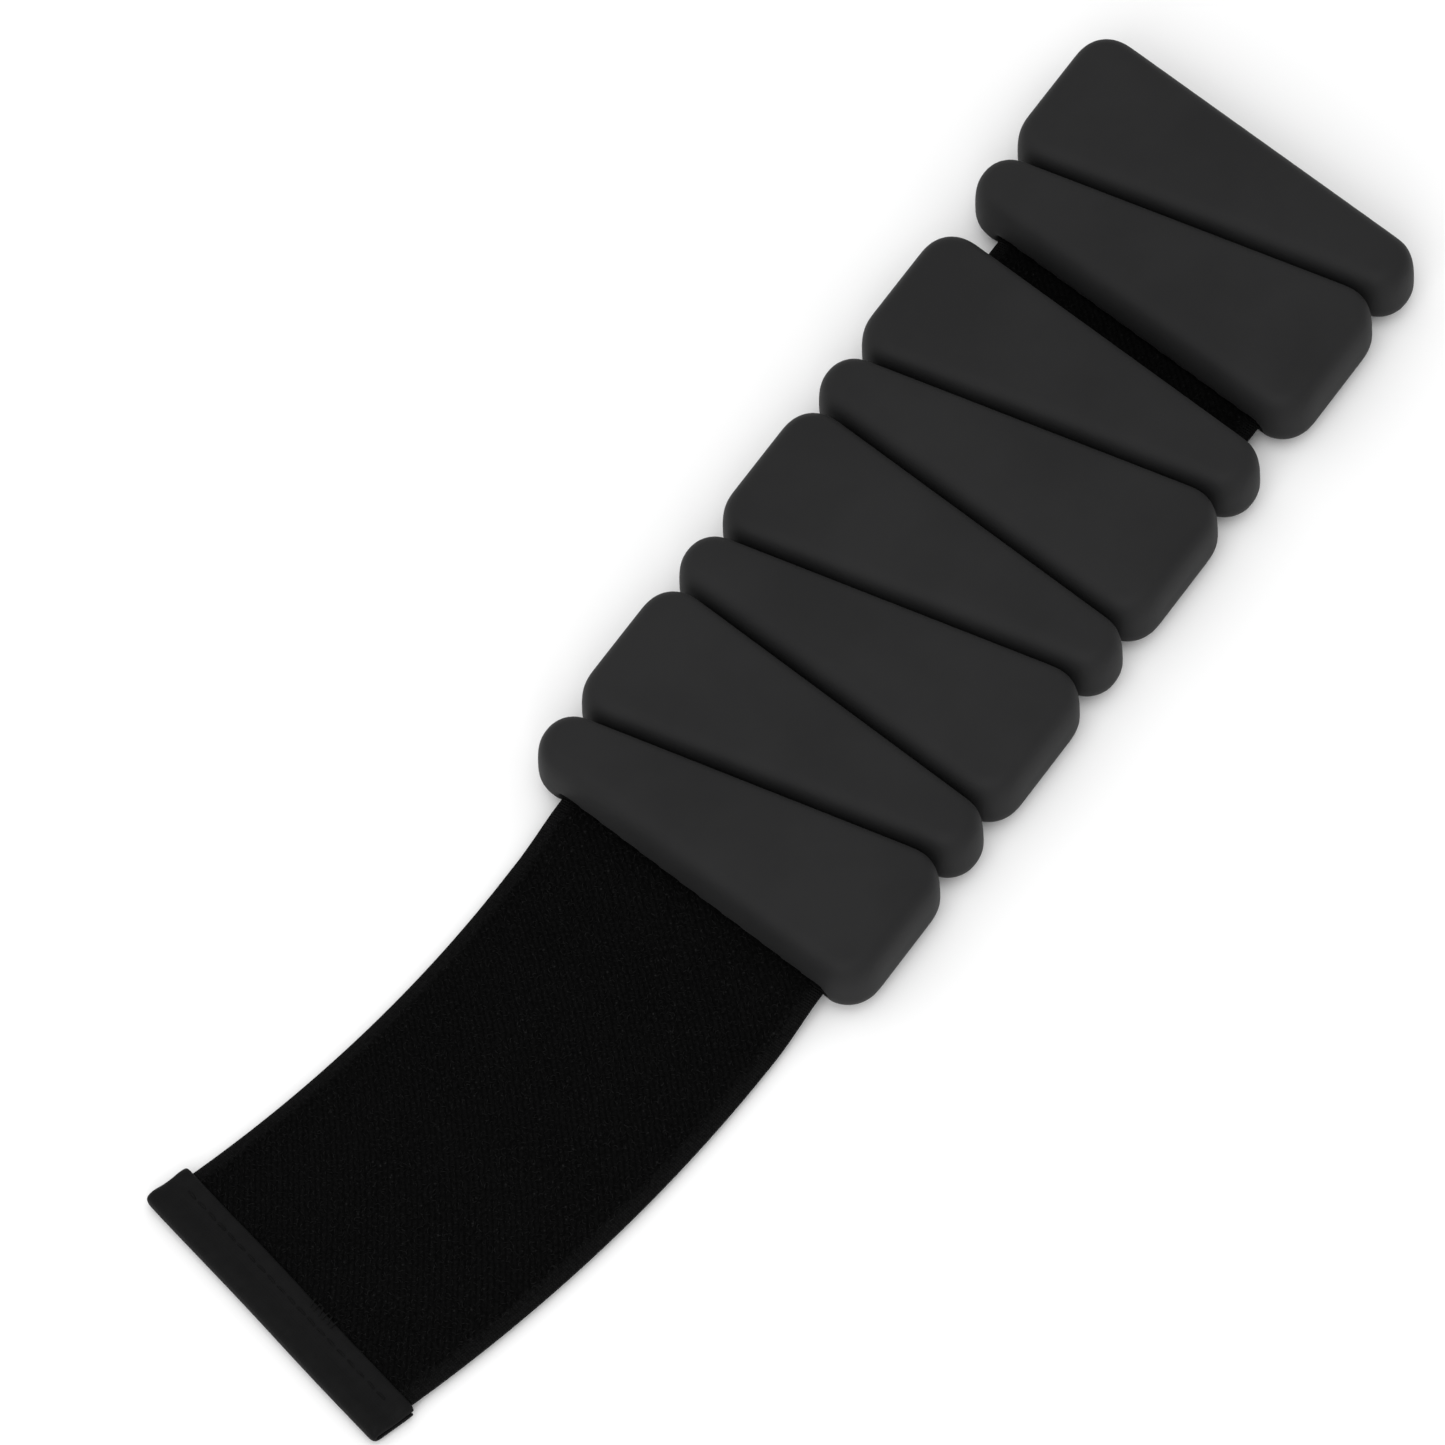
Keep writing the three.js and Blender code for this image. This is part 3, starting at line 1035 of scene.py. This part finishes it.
# ------------------------------------------------------------------ strap
@dataclass
class StrapRoute:
    """Where the strap runs: straight through the beads, down a short slope, then in a flat bend.

    Stations grow along -X from the row frame's origin, and on along the bend.
    """

    tail_length: float = 84 * MM
    tail_turn: float = math.radians(17)
    tail_spans: int = 5
    slope_length: float = 12.9 * MM
    tail_height: float = 1.9 * MM

    def __post_init__(self) -> None:
        """Reads the bend's start and the exit fold from the frame's joints."""
        self.radius = self.tail_length / self.tail_turn
        self.span = self.tail_length / self.tail_spans
        second = Vector(joint("tail_fold_2")["pos_m"])
        angle = self.span / self.radius
        self.foot_x = second.x + self.radius * math.sin(angle)
        self.middle_y = second.y - self.radius * (1 - math.cos(angle))
        exit_joint = joint("tail_fold_1")
        axis = exit_joint["axis"]
        self.exit_x = exit_joint["pos_m"][0]
        self.exit_slant = axis[0] / axis[1]

    @property
    def foot(self) -> float:
        """Station at which the bend starts."""
        return -self.foot_x

    def plan(self, station: np.ndarray, across: np.ndarray) -> tuple[np.ndarray, np.ndarray]:
        """Places on the floor plan.

        Args:
            station: Distance along the strap.
            across: Distance to its left.

        Returns:
            X and Y.
        """
        bend = np.maximum(station - self.foot, 0) / self.radius
        straight = np.minimum(station, self.foot)
        x = -straight - (self.radius - across) * np.sin(bend)
        y = self.middle_y + self.radius - (self.radius - across) * np.cos(bend)
        return x, y

    def height(self, station: np.ndarray, across: np.ndarray) -> np.ndarray:
        """Height of the strap's middle.

        Args:
            station: Distance along the strap.
            across: Distance to its left.

        Returns:
            The heights.
        """
        past_exit = station + self.exit_x + self.exit_slant * across
        share = np.clip(past_exit / self.slope_length, 0, 1)
        return STRAP_HEIGHT - (STRAP_HEIGHT - self.tail_height) * share * share * (3 - 2 * share)

    def cap_place(self) -> Matrix:
        """The place of the end binding, its inner edge at x = 0 and its length along Y.

        Returns:
            The binding's place and turn.
        """
        x, y = self.plan(np.array([self.foot + self.tail_length]), np.array([0.0]))
        turn = Matrix.Rotation(-self.tail_turn, 4, "Z")
        return Matrix.Translation((float(x[0]), float(y[0]), self.tail_height)) @ turn


@dataclass(frozen=True)
class StrapLength:
    """One length of strap that crosses one fold: its ends, its bodies and what it stands for.

    Each end is the x where it crosses the strap's middle, and its slant in x per y; or a station.
    """

    name: str
    high: tuple
    low: tuple
    bodies: tuple
    fold: str
    reach: float
    nodes: tuple
    rests_on: tuple
    step: float
    with_loops: bool = False
    loops_start: tuple = (-math.inf, 0.0)


@dataclass
class StrapCloth:
    """The strap's section and pile: a 2 mm loop pile field between two thin woven edges."""

    route: StrapRoute
    width: float = 57 * MM
    pile_half: float = 26.6 * MM
    pile_rise: float = 0.88 * MM
    edge_rise: float = 0.62 * MM
    under_rise: float = 0.8 * MM
    rim_rise: float = 0.3 * MM
    rim_width: float = 0.8 * MM
    pile_fade: float = 0.5 * MM
    knot_pitch: float = 1.9 * MM
    knot_slant: float = 0.6
    knit_pitch: float = 1.7 * MM
    relief: float = 0.05 * MM
    fine: float = 0.42 * MM
    nap: float = 0.2 * MM
    loop_radius: float = 0.3 * MM
    loop_thread: float = 0.055 * MM
    loop_spacing: float = 0.82 * MM
    loop_margin: float = 0.6 * MM
    loop_stray: float = 0.8
    loop_lean: float = 1.9
    bare_share: float = 0.12

    @staticmethod
    def scatter(rows: np.ndarray, columns: np.ndarray, salt: float) -> np.ndarray:
        """Repeatable random values from 0 to 1 for whole-number rows and columns.

        Args:
            rows: Row numbers.
            columns: Column numbers.
            salt: Picks another set of values.

        Returns:
            The values.
        """
        wave = np.sin(rows * HASH[0] + columns * HASH[1] + salt) * HASH[2]
        return wave - np.floor(wave)

    def rise(self, station: np.ndarray, across: np.ndarray, upper: np.ndarray) -> np.ndarray:
        """Distance of the cloth's face from the strap's middle.

        Args:
            station: Distance along the strap, from the start of its bend.
            across: Distance to its left.
            upper: Whether the point is on the pile side.

        Returns:
            The distances, up on the pile side and down on the other.
        """
        from_edge = self.width / 2 - np.abs(across)
        rim = np.clip(from_edge / self.rim_width, 0, 1)
        woven = self.rim_rise + (self.edge_rise - self.rim_rise) * np.sqrt(rim)
        rows = np.round(station / self.fine)
        columns = np.round(across / self.fine)
        nap = self.scatter(rows, columns, 0.0) * self.nap
        knots = 0.5 + 0.5 * np.sin(2 * math.pi * (station * self.knot_slant + across) / self.knot_pitch)
        in_pile = np.clip((self.pile_half - np.abs(across)) / self.pile_fade, 0, 1)
        pile = self.pile_rise + nap + self.relief * knots
        ridges = np.sin(2 * math.pi * across / self.knit_pitch)
        knit = self.under_rise + self.relief * ridges + 0.25 * nap
        face = np.where(upper, pile, knit)
        return woven + (face - woven) * in_pile

    def loops(self, length: StrapLength, arch: bpy.types.Object, wardrobe: Wardrobe) -> bpy.types.Object:
        """Single loops that stand out of the pile on one length.

        Args:
            length: The length that they stand on.
            arch: The prototype loop.
            wardrobe: The finishes.

        Returns:
            The loops as one object, in place.
        """
        places = []
        span = self.loop_spacing
        start, end = length.high[0] - self.route.foot, length.low[0] - self.route.foot
        first = math.ceil((start + self.loop_margin) / span)
        last = math.floor((end - self.loop_margin) / span)
        side = int(self.pile_half / span)
        line, slant = length.loops_start
        for row in range(first, last + 1):
            for column in range(-side, side + 1):
                cell = (np.float64(row), np.float64(column))
                draw = [float(self.scatter(*cell, salt)) for salt in (1, 2, 3, 4, 5)]
                x = (row + self.loop_stray * (draw[0] - 0.5)) * span
                spot = (x, (column + self.loop_stray * (draw[1] - 0.5)) * span, 0.0)
                if draw[4] < self.bare_share or spot[0] + self.route.foot < line + slant * spot[1]:
                    continue
                turn = Matrix.Rotation(draw[2] * HALF_TURN, 4, "Z")
                lean = Matrix.Rotation((draw[3] - 0.5) * self.loop_lean, 4, "X")
                size = 0.75 + 0.6 * draw[4]
                places.append(Matrix.Translation(spot) @ turn @ lean @ Matrix.Scale(size, 4))
        tufts = stamped(arch, f"{length.name}_loops", places)
        flat = points_of(tufts)
        station, across = flat[:, 0] + self.route.foot, flat[:, 1]
        x, y = self.route.plan(station, across)
        height = self.route.height(station, across) + self.pile_rise + flat[:, 2]
        set_points(tufts, np.column_stack([x, y, height]))
        wardrobe.dress(tufts, wardrobe.loops)
        smooth(tufts)
        return tufts

    def weave(self, length: StrapLength, wardrobe: Wardrobe) -> bpy.types.Object:
        """Makes one length of strap in place.

        Args:
            length: Which length.
            wardrobe: The finishes.

        Returns:
            The finished length.
        """
        (high, high_slant), (low, low_slant) = length.high, length.low
        columns = int(round(self.width / length.step / 2)) * 2
        rows = max(4, int(round(abs(low - high) / length.step)))
        deselect_all()
        bpy.ops.mesh.primitive_grid_add(x_subdivisions=rows, y_subdivisions=columns, size=1)
        obj = newest(length.name)
        with editing(obj, selected=True):
            bpy.ops.transform.resize(value=(1, self.width, 1))
            bpy.ops.transform.translate(value=(0.5, 0, 0))
        apply_modifier(obj, "SOLIDIFY", thickness=1 * MM, offset=0, use_even_offset=False)
        flat = points_of(obj)
        share, across, upper = flat[:, 0], flat[:, 1], flat[:, 2] > 0
        start = high + high_slant * across
        station = start + share * (low + low_slant * across - start)
        off = np.where(upper, 1, -1) * self.rise(station - self.route.foot, across, upper)
        wardrobe.dress(obj, wardrobe.pile)
        x, y = self.route.plan(station, across)
        set_points(obj, np.column_stack([x, y, self.route.height(station, across) + off]))
        self.map_cloth(obj, station, across)
        smooth(obj, crease=60)
        return obj

    @staticmethod
    def map_cloth(obj: bpy.types.Object, station: np.ndarray, across: np.ndarray) -> None:
        """Gives a piece its cloth map, in metres along and across.

        Args:
            obj: The piece.
            station: Distance along of each vertex.
            across: Distance across of each vertex.
        """
        for layer in list(obj.data.uv_layers):
            obj.data.uv_layers.remove(layer)
        layer = obj.data.uv_layers.new(name="cloth")
        index = np.empty(len(obj.data.loops), dtype=np.int64)
        obj.data.loops.foreach_get("vertex_index", index)
        places = np.column_stack([station[index], across[index]]).astype(np.float32)
        layer.data.foreach_set("uv", places.ravel())


@dataclass
class Strap:
    """The whole strap, as lengths that each cross one fold and meet out of sight or line to line."""

    route: StrapRoute = field(default_factory=StrapRoute)
    open_space: float = 5 * MM
    inside_step: float = 0.8 * MM
    bead_reach: float = 2 * MM
    tail_reach: float = 7.4 * MM
    end_in_cap: float = 6.2 * MM

    def __post_init__(self) -> None:
        """Makes the cloth for this route."""
        self.cloth = StrapCloth(self.route)

    @staticmethod
    def bead_station(number: int) -> float:
        """Station of a bead's middle."""
        low, high = frame_box(f"bead_{number}_jacket")
        return -(low.x + high.x) / 2

    def lengths(self) -> list[StrapLength]:
        """Lists every length from the closed end to the bound end.

        Returns:
            The lengths.
        """
        inside, fine, reach = self.inside_step, self.cloth.fine, self.bead_reach
        closed = -frame_box("strap_span_1")[1].x
        short = -frame_box("strap_span_2")[0].x
        slide_high = -frame_box("strap_stretch_span")[1].x
        fold = joint("fold_2_3")
        slant = fold["axis"][0] / fold["axis"][1]
        tip = slide_high + abs(slant) * self.cloth.width / 2
        lengths = [
            StrapLength(
                "strap_inner_end", (closed, 0.0), (short, 0.0), ("bead_2", "bead_1"), "fold_1_2",
                reach, ("strap_span_1", "strap_span_2"), ("bead_1_skin", "bead_2_skin"), inside,
            ),
            StrapLength(
                "strap_open_space", (tip, -slant), (self.bead_station(3), 0.0), ("bead_3", "stretch_link"),
                "fold_2_3", reach, ("strap_stretch_span", "strap_span_3"), ("bead_2_skin", "bead_3_skin"),
                fine, True, (-fold["pos_m"][0] - self.open_space, -slant),
            ),
        ]
        for number in range(3, BEAD_TOTAL):
            after = number + 1
            lengths.append(StrapLength(
                f"strap_through_{number}_{after}", (self.bead_station(number), 0.0),
                (self.bead_station(after), 0.0), (f"bead_{after}", f"bead_{number}"),
                f"fold_{number}_{after}", reach, (f"strap_span_{after}",),
                (f"bead_{number}_skin", f"bead_{after}_skin"), inside,
            ))
        span = self.route.span
        first = self.route.foot + span / 2
        lengths.append(StrapLength(
            "strap_tail_root", (self.bead_station(BEAD_TOTAL), 0.0), (first, 0.0), ("tail_1", "bead_8"),
            "tail_fold_1", reach, ("strap_tail_1", "strap_tail_2"), ("bead_8_skin",), fine, True,
        ))
        bodies = ["tail_1", "tail_2", "tail_3", "tail_4", "tail_end"]
        for index in range(1, len(bodies)):
            end = first + index * span
            if index == len(bodies) - 1:
                end = self.route.foot + self.route.tail_length + self.end_in_cap
            lengths.append(StrapLength(
                f"strap_tail_part_{index}", (first + (index - 1) * span, 0.0), (end, 0.0),
                (bodies[index], bodies[index - 1]), f"tail_fold_{index + 1}", self.tail_reach,
                (f"strap_tail_{index + 2}",), ("floor",), fine, True,
            ))
        return lengths

    def build(self, wardrobe: Wardrobe) -> list[bpy.types.Object]:
        """Makes every length with its loops, and hides the frame nodes that it stands for.

        Args:
            wardrobe: The finishes.

        Returns:
            The strap pieces.
        """
        arch = thread_arch("loop_arch", self.cloth.loop_radius, self.cloth.loop_thread, 3, 5)
        made = []
        for length in self.lengths():
            cloth = self.cloth.weave(length, wardrobe)
            tufts = [self.cloth.loops(length, arch, wardrobe)] if length.with_loops else []
            self.declare(cloth, tufts, length)
            made += [cloth, *tufts]
        discard(arch)
        return made

    def declare(self, cloth: bpy.types.Object, tufts: list[bpy.types.Object], length: StrapLength) -> None:
        """Hides the frame nodes that a length stands for and bakes its pieces in place.

        Args:
            cloth: The finished length.
            tufts: Its loops, where it has them.
            length: Its description.
        """
        fold = joint(length.fold)
        middle, axis = Vector(fold["pos_m"]), Vector(fold["axis"]).normalized()
        across = Vector((axis.y, -axis.x, 0))
        if across.x > 0:
            across.negate()
        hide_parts(*length.nodes)
        for piece in (cloth, *tufts):
            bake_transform(piece)


# ------------------------------------------------------------------ end binding
@dataclass
class EndBinding:
    """The smooth tape folded over the strap's free end, pinched shut at its sides and sewn across."""

    route: StrapRoute
    width: float = 59.6 * MM
    wall: float = 0.75 * MM
    corner: float = 1.0 * MM
    pinched: float = 0.22
    across_steps: int = 90
    stitch_radius: float = 0.95 * MM
    thread_radius: float = 0.14 * MM
    stitch_rise: float = 0.34
    stitch_pitch: float = 2.6 * MM
    stitch_margin: float = 6 * MM
    seam: tuple = (-2.9 * MM, 1.5 * MM)
    tack_row: tuple = (-0.5 * MM, 1.66 * MM)
    tack_turn: float = 0.35
    tack_count: int = 6
    tack_pitch: float = 1.1 * MM
    tack_start: float = -4 * MM
    profile: list = field(default_factory=lambda: [
        (-0.35, -1.35), (-1.5, -1.5), (-3.7, -1.5), (-5.8, -1.5), (-7.2, -1.5), (-8.05, -1.2), (-8.35, -0.5),
        (-8.38, 0.2), (-8.2, 0.9), (-7.7, 1.38), (-7.05, 1.55), (-6.3, 1.42), (-5.4, 1.14), (-4.5, 0.96),
        (-3.6, 1.0), (-2.8, 1.22), (-2.1, 1.46), (-1.5, 1.56), (-0.9, 1.5), (-0.4, 1.28), (-0.3, 1.08),
    ])

    def fold_tape(self) -> bpy.types.Object:
        """Folds the tape round the strap's end, in its own place.

        Returns:
            The folded tape.
        """
        profile = np.array(self.profile) * MM
        steps = np.concatenate([[0], np.cumsum(np.linalg.norm(np.diff(profile, axis=0), axis=1))])
        deselect_all()
        bpy.ops.mesh.primitive_grid_add(
            x_subdivisions=3 * (len(profile) - 1), y_subdivisions=self.across_steps, size=1
        )
        tape = newest("end_binding_tape")
        points = points_of(tape)
        along = (points[:, 0] + 0.5) * steps[-1]
        across = points[:, 1] * self.width
        x = np.interp(along, steps, profile[:, 0])
        z = np.interp(along, steps, profile[:, 1])
        from_end = self.width / 2 - np.abs(across)
        pinch = np.clip(from_end / self.corner, 0, 1)
        pinch = self.pinched + (1 - self.pinched) * np.sqrt(1 - (1 - pinch) ** 2)
        outer = np.clip((-x - 6.5 * MM) / (3 * MM), 0, 1)
        rounding = self.corner * (1 - np.clip(from_end / self.corner, 0, 1)) ** 2
        wave = 0.05 * MM * np.sin(across / (4.1 * MM)) + 0.035 * MM * np.sin(across / (1.7 * MM) + 1)
        z = z * pinch + np.where(z > 0, wave, 0)
        x = x + outer * rounding * 0.5 + 0.06 * MM * np.sin(across / (6.3 * MM) + 0.7)
        set_points(tape, np.column_stack([x, across, z]))
        StrapCloth.map_cloth(tape, along, across)
        with editing(tape):
            face_outward()
        apply_modifier(tape, "SOLIDIFY", thickness=self.wall, offset=0, use_even_offset=True)
        apply_modifier(tape, "SUBSURF", levels=1, render_levels=1)
        smooth(tape)
        return tape

    def sew(self) -> bpy.types.Object:
        """Sews the seam across the tape and the tacks over its inner edge.

        Returns:
            The stitches.
        """
        arch = thread_arch("stitch_arch", self.stitch_radius, self.thread_radius, 8, 8)
        count = int((self.width - self.stitch_margin) / self.stitch_pitch)
        flatten = Matrix.Diagonal((1, 1, self.stitch_rise, 1))
        places = []
        for index in range(count):
            y = (index - (count - 1) / 2) * self.stitch_pitch
            stand = Matrix.Translation((self.seam[0], y, self.seam[1]))
            turn = Matrix.Rotation(HALF_TURN / 2 + 0.06 * (-1) ** index, 4, "Z")
            places.append(stand @ flatten @ turn)
        for index in range(self.tack_count):
            y = self.tack_start - index * self.tack_pitch
            stand = Matrix.Translation((self.tack_row[0], y, self.tack_row[1]))
            tip = Matrix.Rotation(self.tack_turn, 4, "Y")
            turn = Matrix.Rotation(self.tack_turn + 0.12 * (-1) ** index, 4, "Z")
            places.append(stand @ tip @ flatten @ turn)
        thread = stamped(arch, "end_binding_stitches", places)
        discard(arch)
        smooth(thread)
        return thread

    def build(self, wardrobe: Wardrobe) -> list[bpy.types.Object]:
        """Makes the binding and its stitches on the strap's end.

        Args:
            wardrobe: The finishes.

        Returns:
            The two pieces.
        """
        tape, thread = self.fold_tape(), self.sew()
        place = self.route.cap_place()
        for piece, material in ((tape, wardrobe.binding), (thread, wardrobe.stitch)):
            piece.data.transform(place)
            wardrobe.dress(piece, material)
            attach(piece, "tail_end")
        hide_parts("end_cap")
        return [tape, thread]


# ------------------------------------------------------------------ hook pads
@dataclass
class HookPads:
    """The hook tape under the first two beads: a moulded backing with rows of small hooks."""

    mould: BeadMould = field(default_factory=BeadMould)
    inset: float = 4 * MM
    backing_low: float = 0.5 * MM
    backing_high: float = 0.9 * MM
    backing_edge: float = 0.12 * MM
    end_margin: float = 1.2 * MM
    side_margin: float = 1.6 * MM
    spacing: float = 1.7 * MM
    side_columns: int = 9
    hook_sink: float = 0.02 * MM
    hook_stretch: float = 1.25
    hook_radius: float = 0.26 * MM
    hook_thickness: float = 0.085 * MM

    def backing(self) -> bpy.types.Object:
        """The tape's backing plate with a softened edge.

        Returns:
            The plate.
        """
        plate = self.mould.plate("hook_backing", self.inset, self.backing_low, self.backing_high)
        with editing(plate):
            pick(plate, Kind.EDGES, lambda co, way: abs(way.z) < 0.1 and co.z < self.backing_low + WELD)
            bpy.ops.mesh.bevel(offset=self.backing_edge, segments=2, profile=0.5, affect="EDGES")
        return plate

    def hooks(self) -> bpy.types.Object:
        """Rows of small hooks hanging from the backing.

        Returns:
            The hooks as one object.
        """
        arch = thread_arch("hook_arch", self.hook_radius, self.hook_thickness, 4, 4)
        half_length = self.mould.length / 2 - self.inset - self.end_margin
        hang = Matrix.Rotation(HALF_TURN, 4, "X") @ Matrix.Diagonal((1, 1, self.hook_stretch, 1))
        places = []
        rows = int(half_length / self.spacing)
        for row in range(-rows, rows + 1):
            y = row * self.spacing
            half = self.mould.mid_width / 2 + math.tan(self.mould.taper) * y - self.inset - self.side_margin
            for column in range(-self.side_columns, self.side_columns + 1):
                x = (column + 0.5 * (row % 2)) * self.spacing
                if abs(x) > half:
                    continue
                turn = Matrix.Rotation(HALF_TURN / 2 + 0.3 * (-1) ** column, 4, "Z")
                spot = Matrix.Translation((x, y, self.backing_low + self.hook_sink))
                places.append(spot @ turn @ hang)
        made = stamped(arch, "hooks", places)
        discard(arch)
        return made

    def build(self, wardrobe: Wardrobe) -> list[bpy.types.Object]:
        """Makes a pad under each of the first two beads.

        Args:
            wardrobe: The finishes.

        Returns:
            The pads.
        """
        pad, hooks = self.backing(), self.hooks()
        focus(pad, hooks)
        bpy.ops.object.join()
        made = []
        for number in (1, 2):
            piece = duplicate(pad, f"bead_{number}_hook_tape", BeadRow.place(number))
            wardrobe.dress(piece, wardrobe.hooks)
            smooth(piece, crease=40)
            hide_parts(f"bead_{number}_hook_pad")
            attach(piece, f"bead_{number}")
            made.append(piece)
        discard(pad)
        return made


# ------------------------------------------------------------------ hidden steel
@dataclass(frozen=True)
class HiddenSteel:
    """The cores and anchor pins, whose frame nodes stay and get their steel."""

    anchors: int = 3

    def build(self, wardrobe: Wardrobe) -> list[bpy.types.Object]:
        """Dresses the steel nodes.

        Args:
            wardrobe: The finishes.

        Returns:
            The dressed nodes.
        """
        names = [f"bead_{number}_steel_core" for number in range(1, BEAD_TOTAL + 1)]
        names += [f"strap_anchor_pin_{number}" for number in range(1, self.anchors + 1)]
        nodes = [FRAME["nodes"][name] for name in names]
        for node in nodes:
            for slot in node.material_slots:
                slot.material = wardrobe.steel
            if not node.material_slots:
                node.data.materials.append(wardrobe.steel)
        return nodes


# ------------------------------------------------------------------ studio
@dataclass
class Studio:
    """A pale paper floor, soft light from above and a long lens."""

    distance: float = 3.0
    elevation: float = 57.9
    heading: float = 53.6
    roll: float = -3.1
    focal: float = 451.0
    target: tuple = (-1.95 * MM, 10.5 * MM, 5 * MM)
    floor_size: float = 8.0
    floor_height: float = -0.15 * MM
    sky_level: float = 0.8
    soft_boxes: tuple = (
        ("soft_box_front", (-1.25, -0.45, 1.0), 1.3, 12),
        ("soft_box_over", (-0.2, -0.1, 1.7), 1.2, 6),
    )

    def floor(self, wardrobe: Wardrobe) -> None:
        """Lays the floor.

        Args:
            wardrobe: The finishes.
        """
        deselect_all()
        bpy.ops.mesh.primitive_plane_add(size=self.floor_size, location=(0, 0, self.floor_height))
        paper = newest("floor")
        wardrobe.dress(paper, wardrobe.floor)

    def lamp(self, name: str, place: tuple, size: float, power: float) -> None:
        """Hangs one soft box that points at the cuff.

        Args:
            name: The lamp's name.
            place: Where it hangs.
            size: Its side.
            power: Its power in watts.
        """
        light = bpy.data.lights.new(name, "AREA")
        light.shape = "SQUARE"
        light.size = size
        light.energy = power
        lamp = bpy.data.objects.new(name, light)
        lamp.location = place
        lamp.rotation_euler = (-Vector(place)).to_track_quat("-Z", "Y").to_euler()
        bpy.context.scene.collection.objects.link(lamp)

    def lights(self) -> None:
        """Sets the even sky and the soft boxes."""
        scene = bpy.context.scene
        world = bpy.data.worlds.new("studio_sky")
        world.use_nodes = True
        sky = world.node_tree.nodes["Background"]
        sky.inputs[0].default_value = (1, 1, 1, 1)
        sky.inputs[1].default_value = self.sky_level
        scene.world = world
        scene.view_settings.view_transform = "Standard"
        for soft_box in self.soft_boxes:
            self.lamp(*soft_box)

    def camera(self) -> None:
        """Sets the camera."""
        up_angle, turn = math.radians(self.elevation), math.radians(self.heading)
        level = math.cos(up_angle)
        look = Vector((math.sin(turn) * level, math.cos(turn) * level, -math.sin(up_angle)))
        right = Vector((math.cos(turn), -math.sin(turn), 0))
        up = right.cross(look)
        roll = math.radians(self.roll)
        tilted = right * math.cos(roll) + up * math.sin(roll)
        up = up * math.cos(roll) - right * math.sin(roll)
        data = bpy.data.cameras.new("camera")
        data.sensor_width = 36
        data.lens = self.focal
        data.clip_start = 0.1
        data.clip_end = 50
        lens = bpy.data.objects.new("camera", data)
        basis = Matrix((tilted, up, -look)).transposed().to_4x4()
        lens.matrix_world = Matrix.Translation(Vector(self.target) - look * self.distance) @ basis
        bpy.context.scene.collection.objects.link(lens)
        bpy.context.scene.camera = lens


def main() -> None:
    """Builds the cuff in its studio."""
    logging.basicConfig(level=logging.INFO, format="%(name)s %(message)s")
    wardrobe = Wardrobe()
    studio = Studio()
    studio.camera()
    studio.lights()
    studio.floor(wardrobe)
    strap = Strap()
    builders = [BeadRow(), strap, EndBinding(strap.route), HookPads(), HiddenSteel()]
    for builder in builders:
        for piece in builder.build(wardrobe):
            LOG.info("%s: %d faces", piece.name, len(piece.data.polygons))
    deselect_all()


if __name__ == "__main__":
    main()
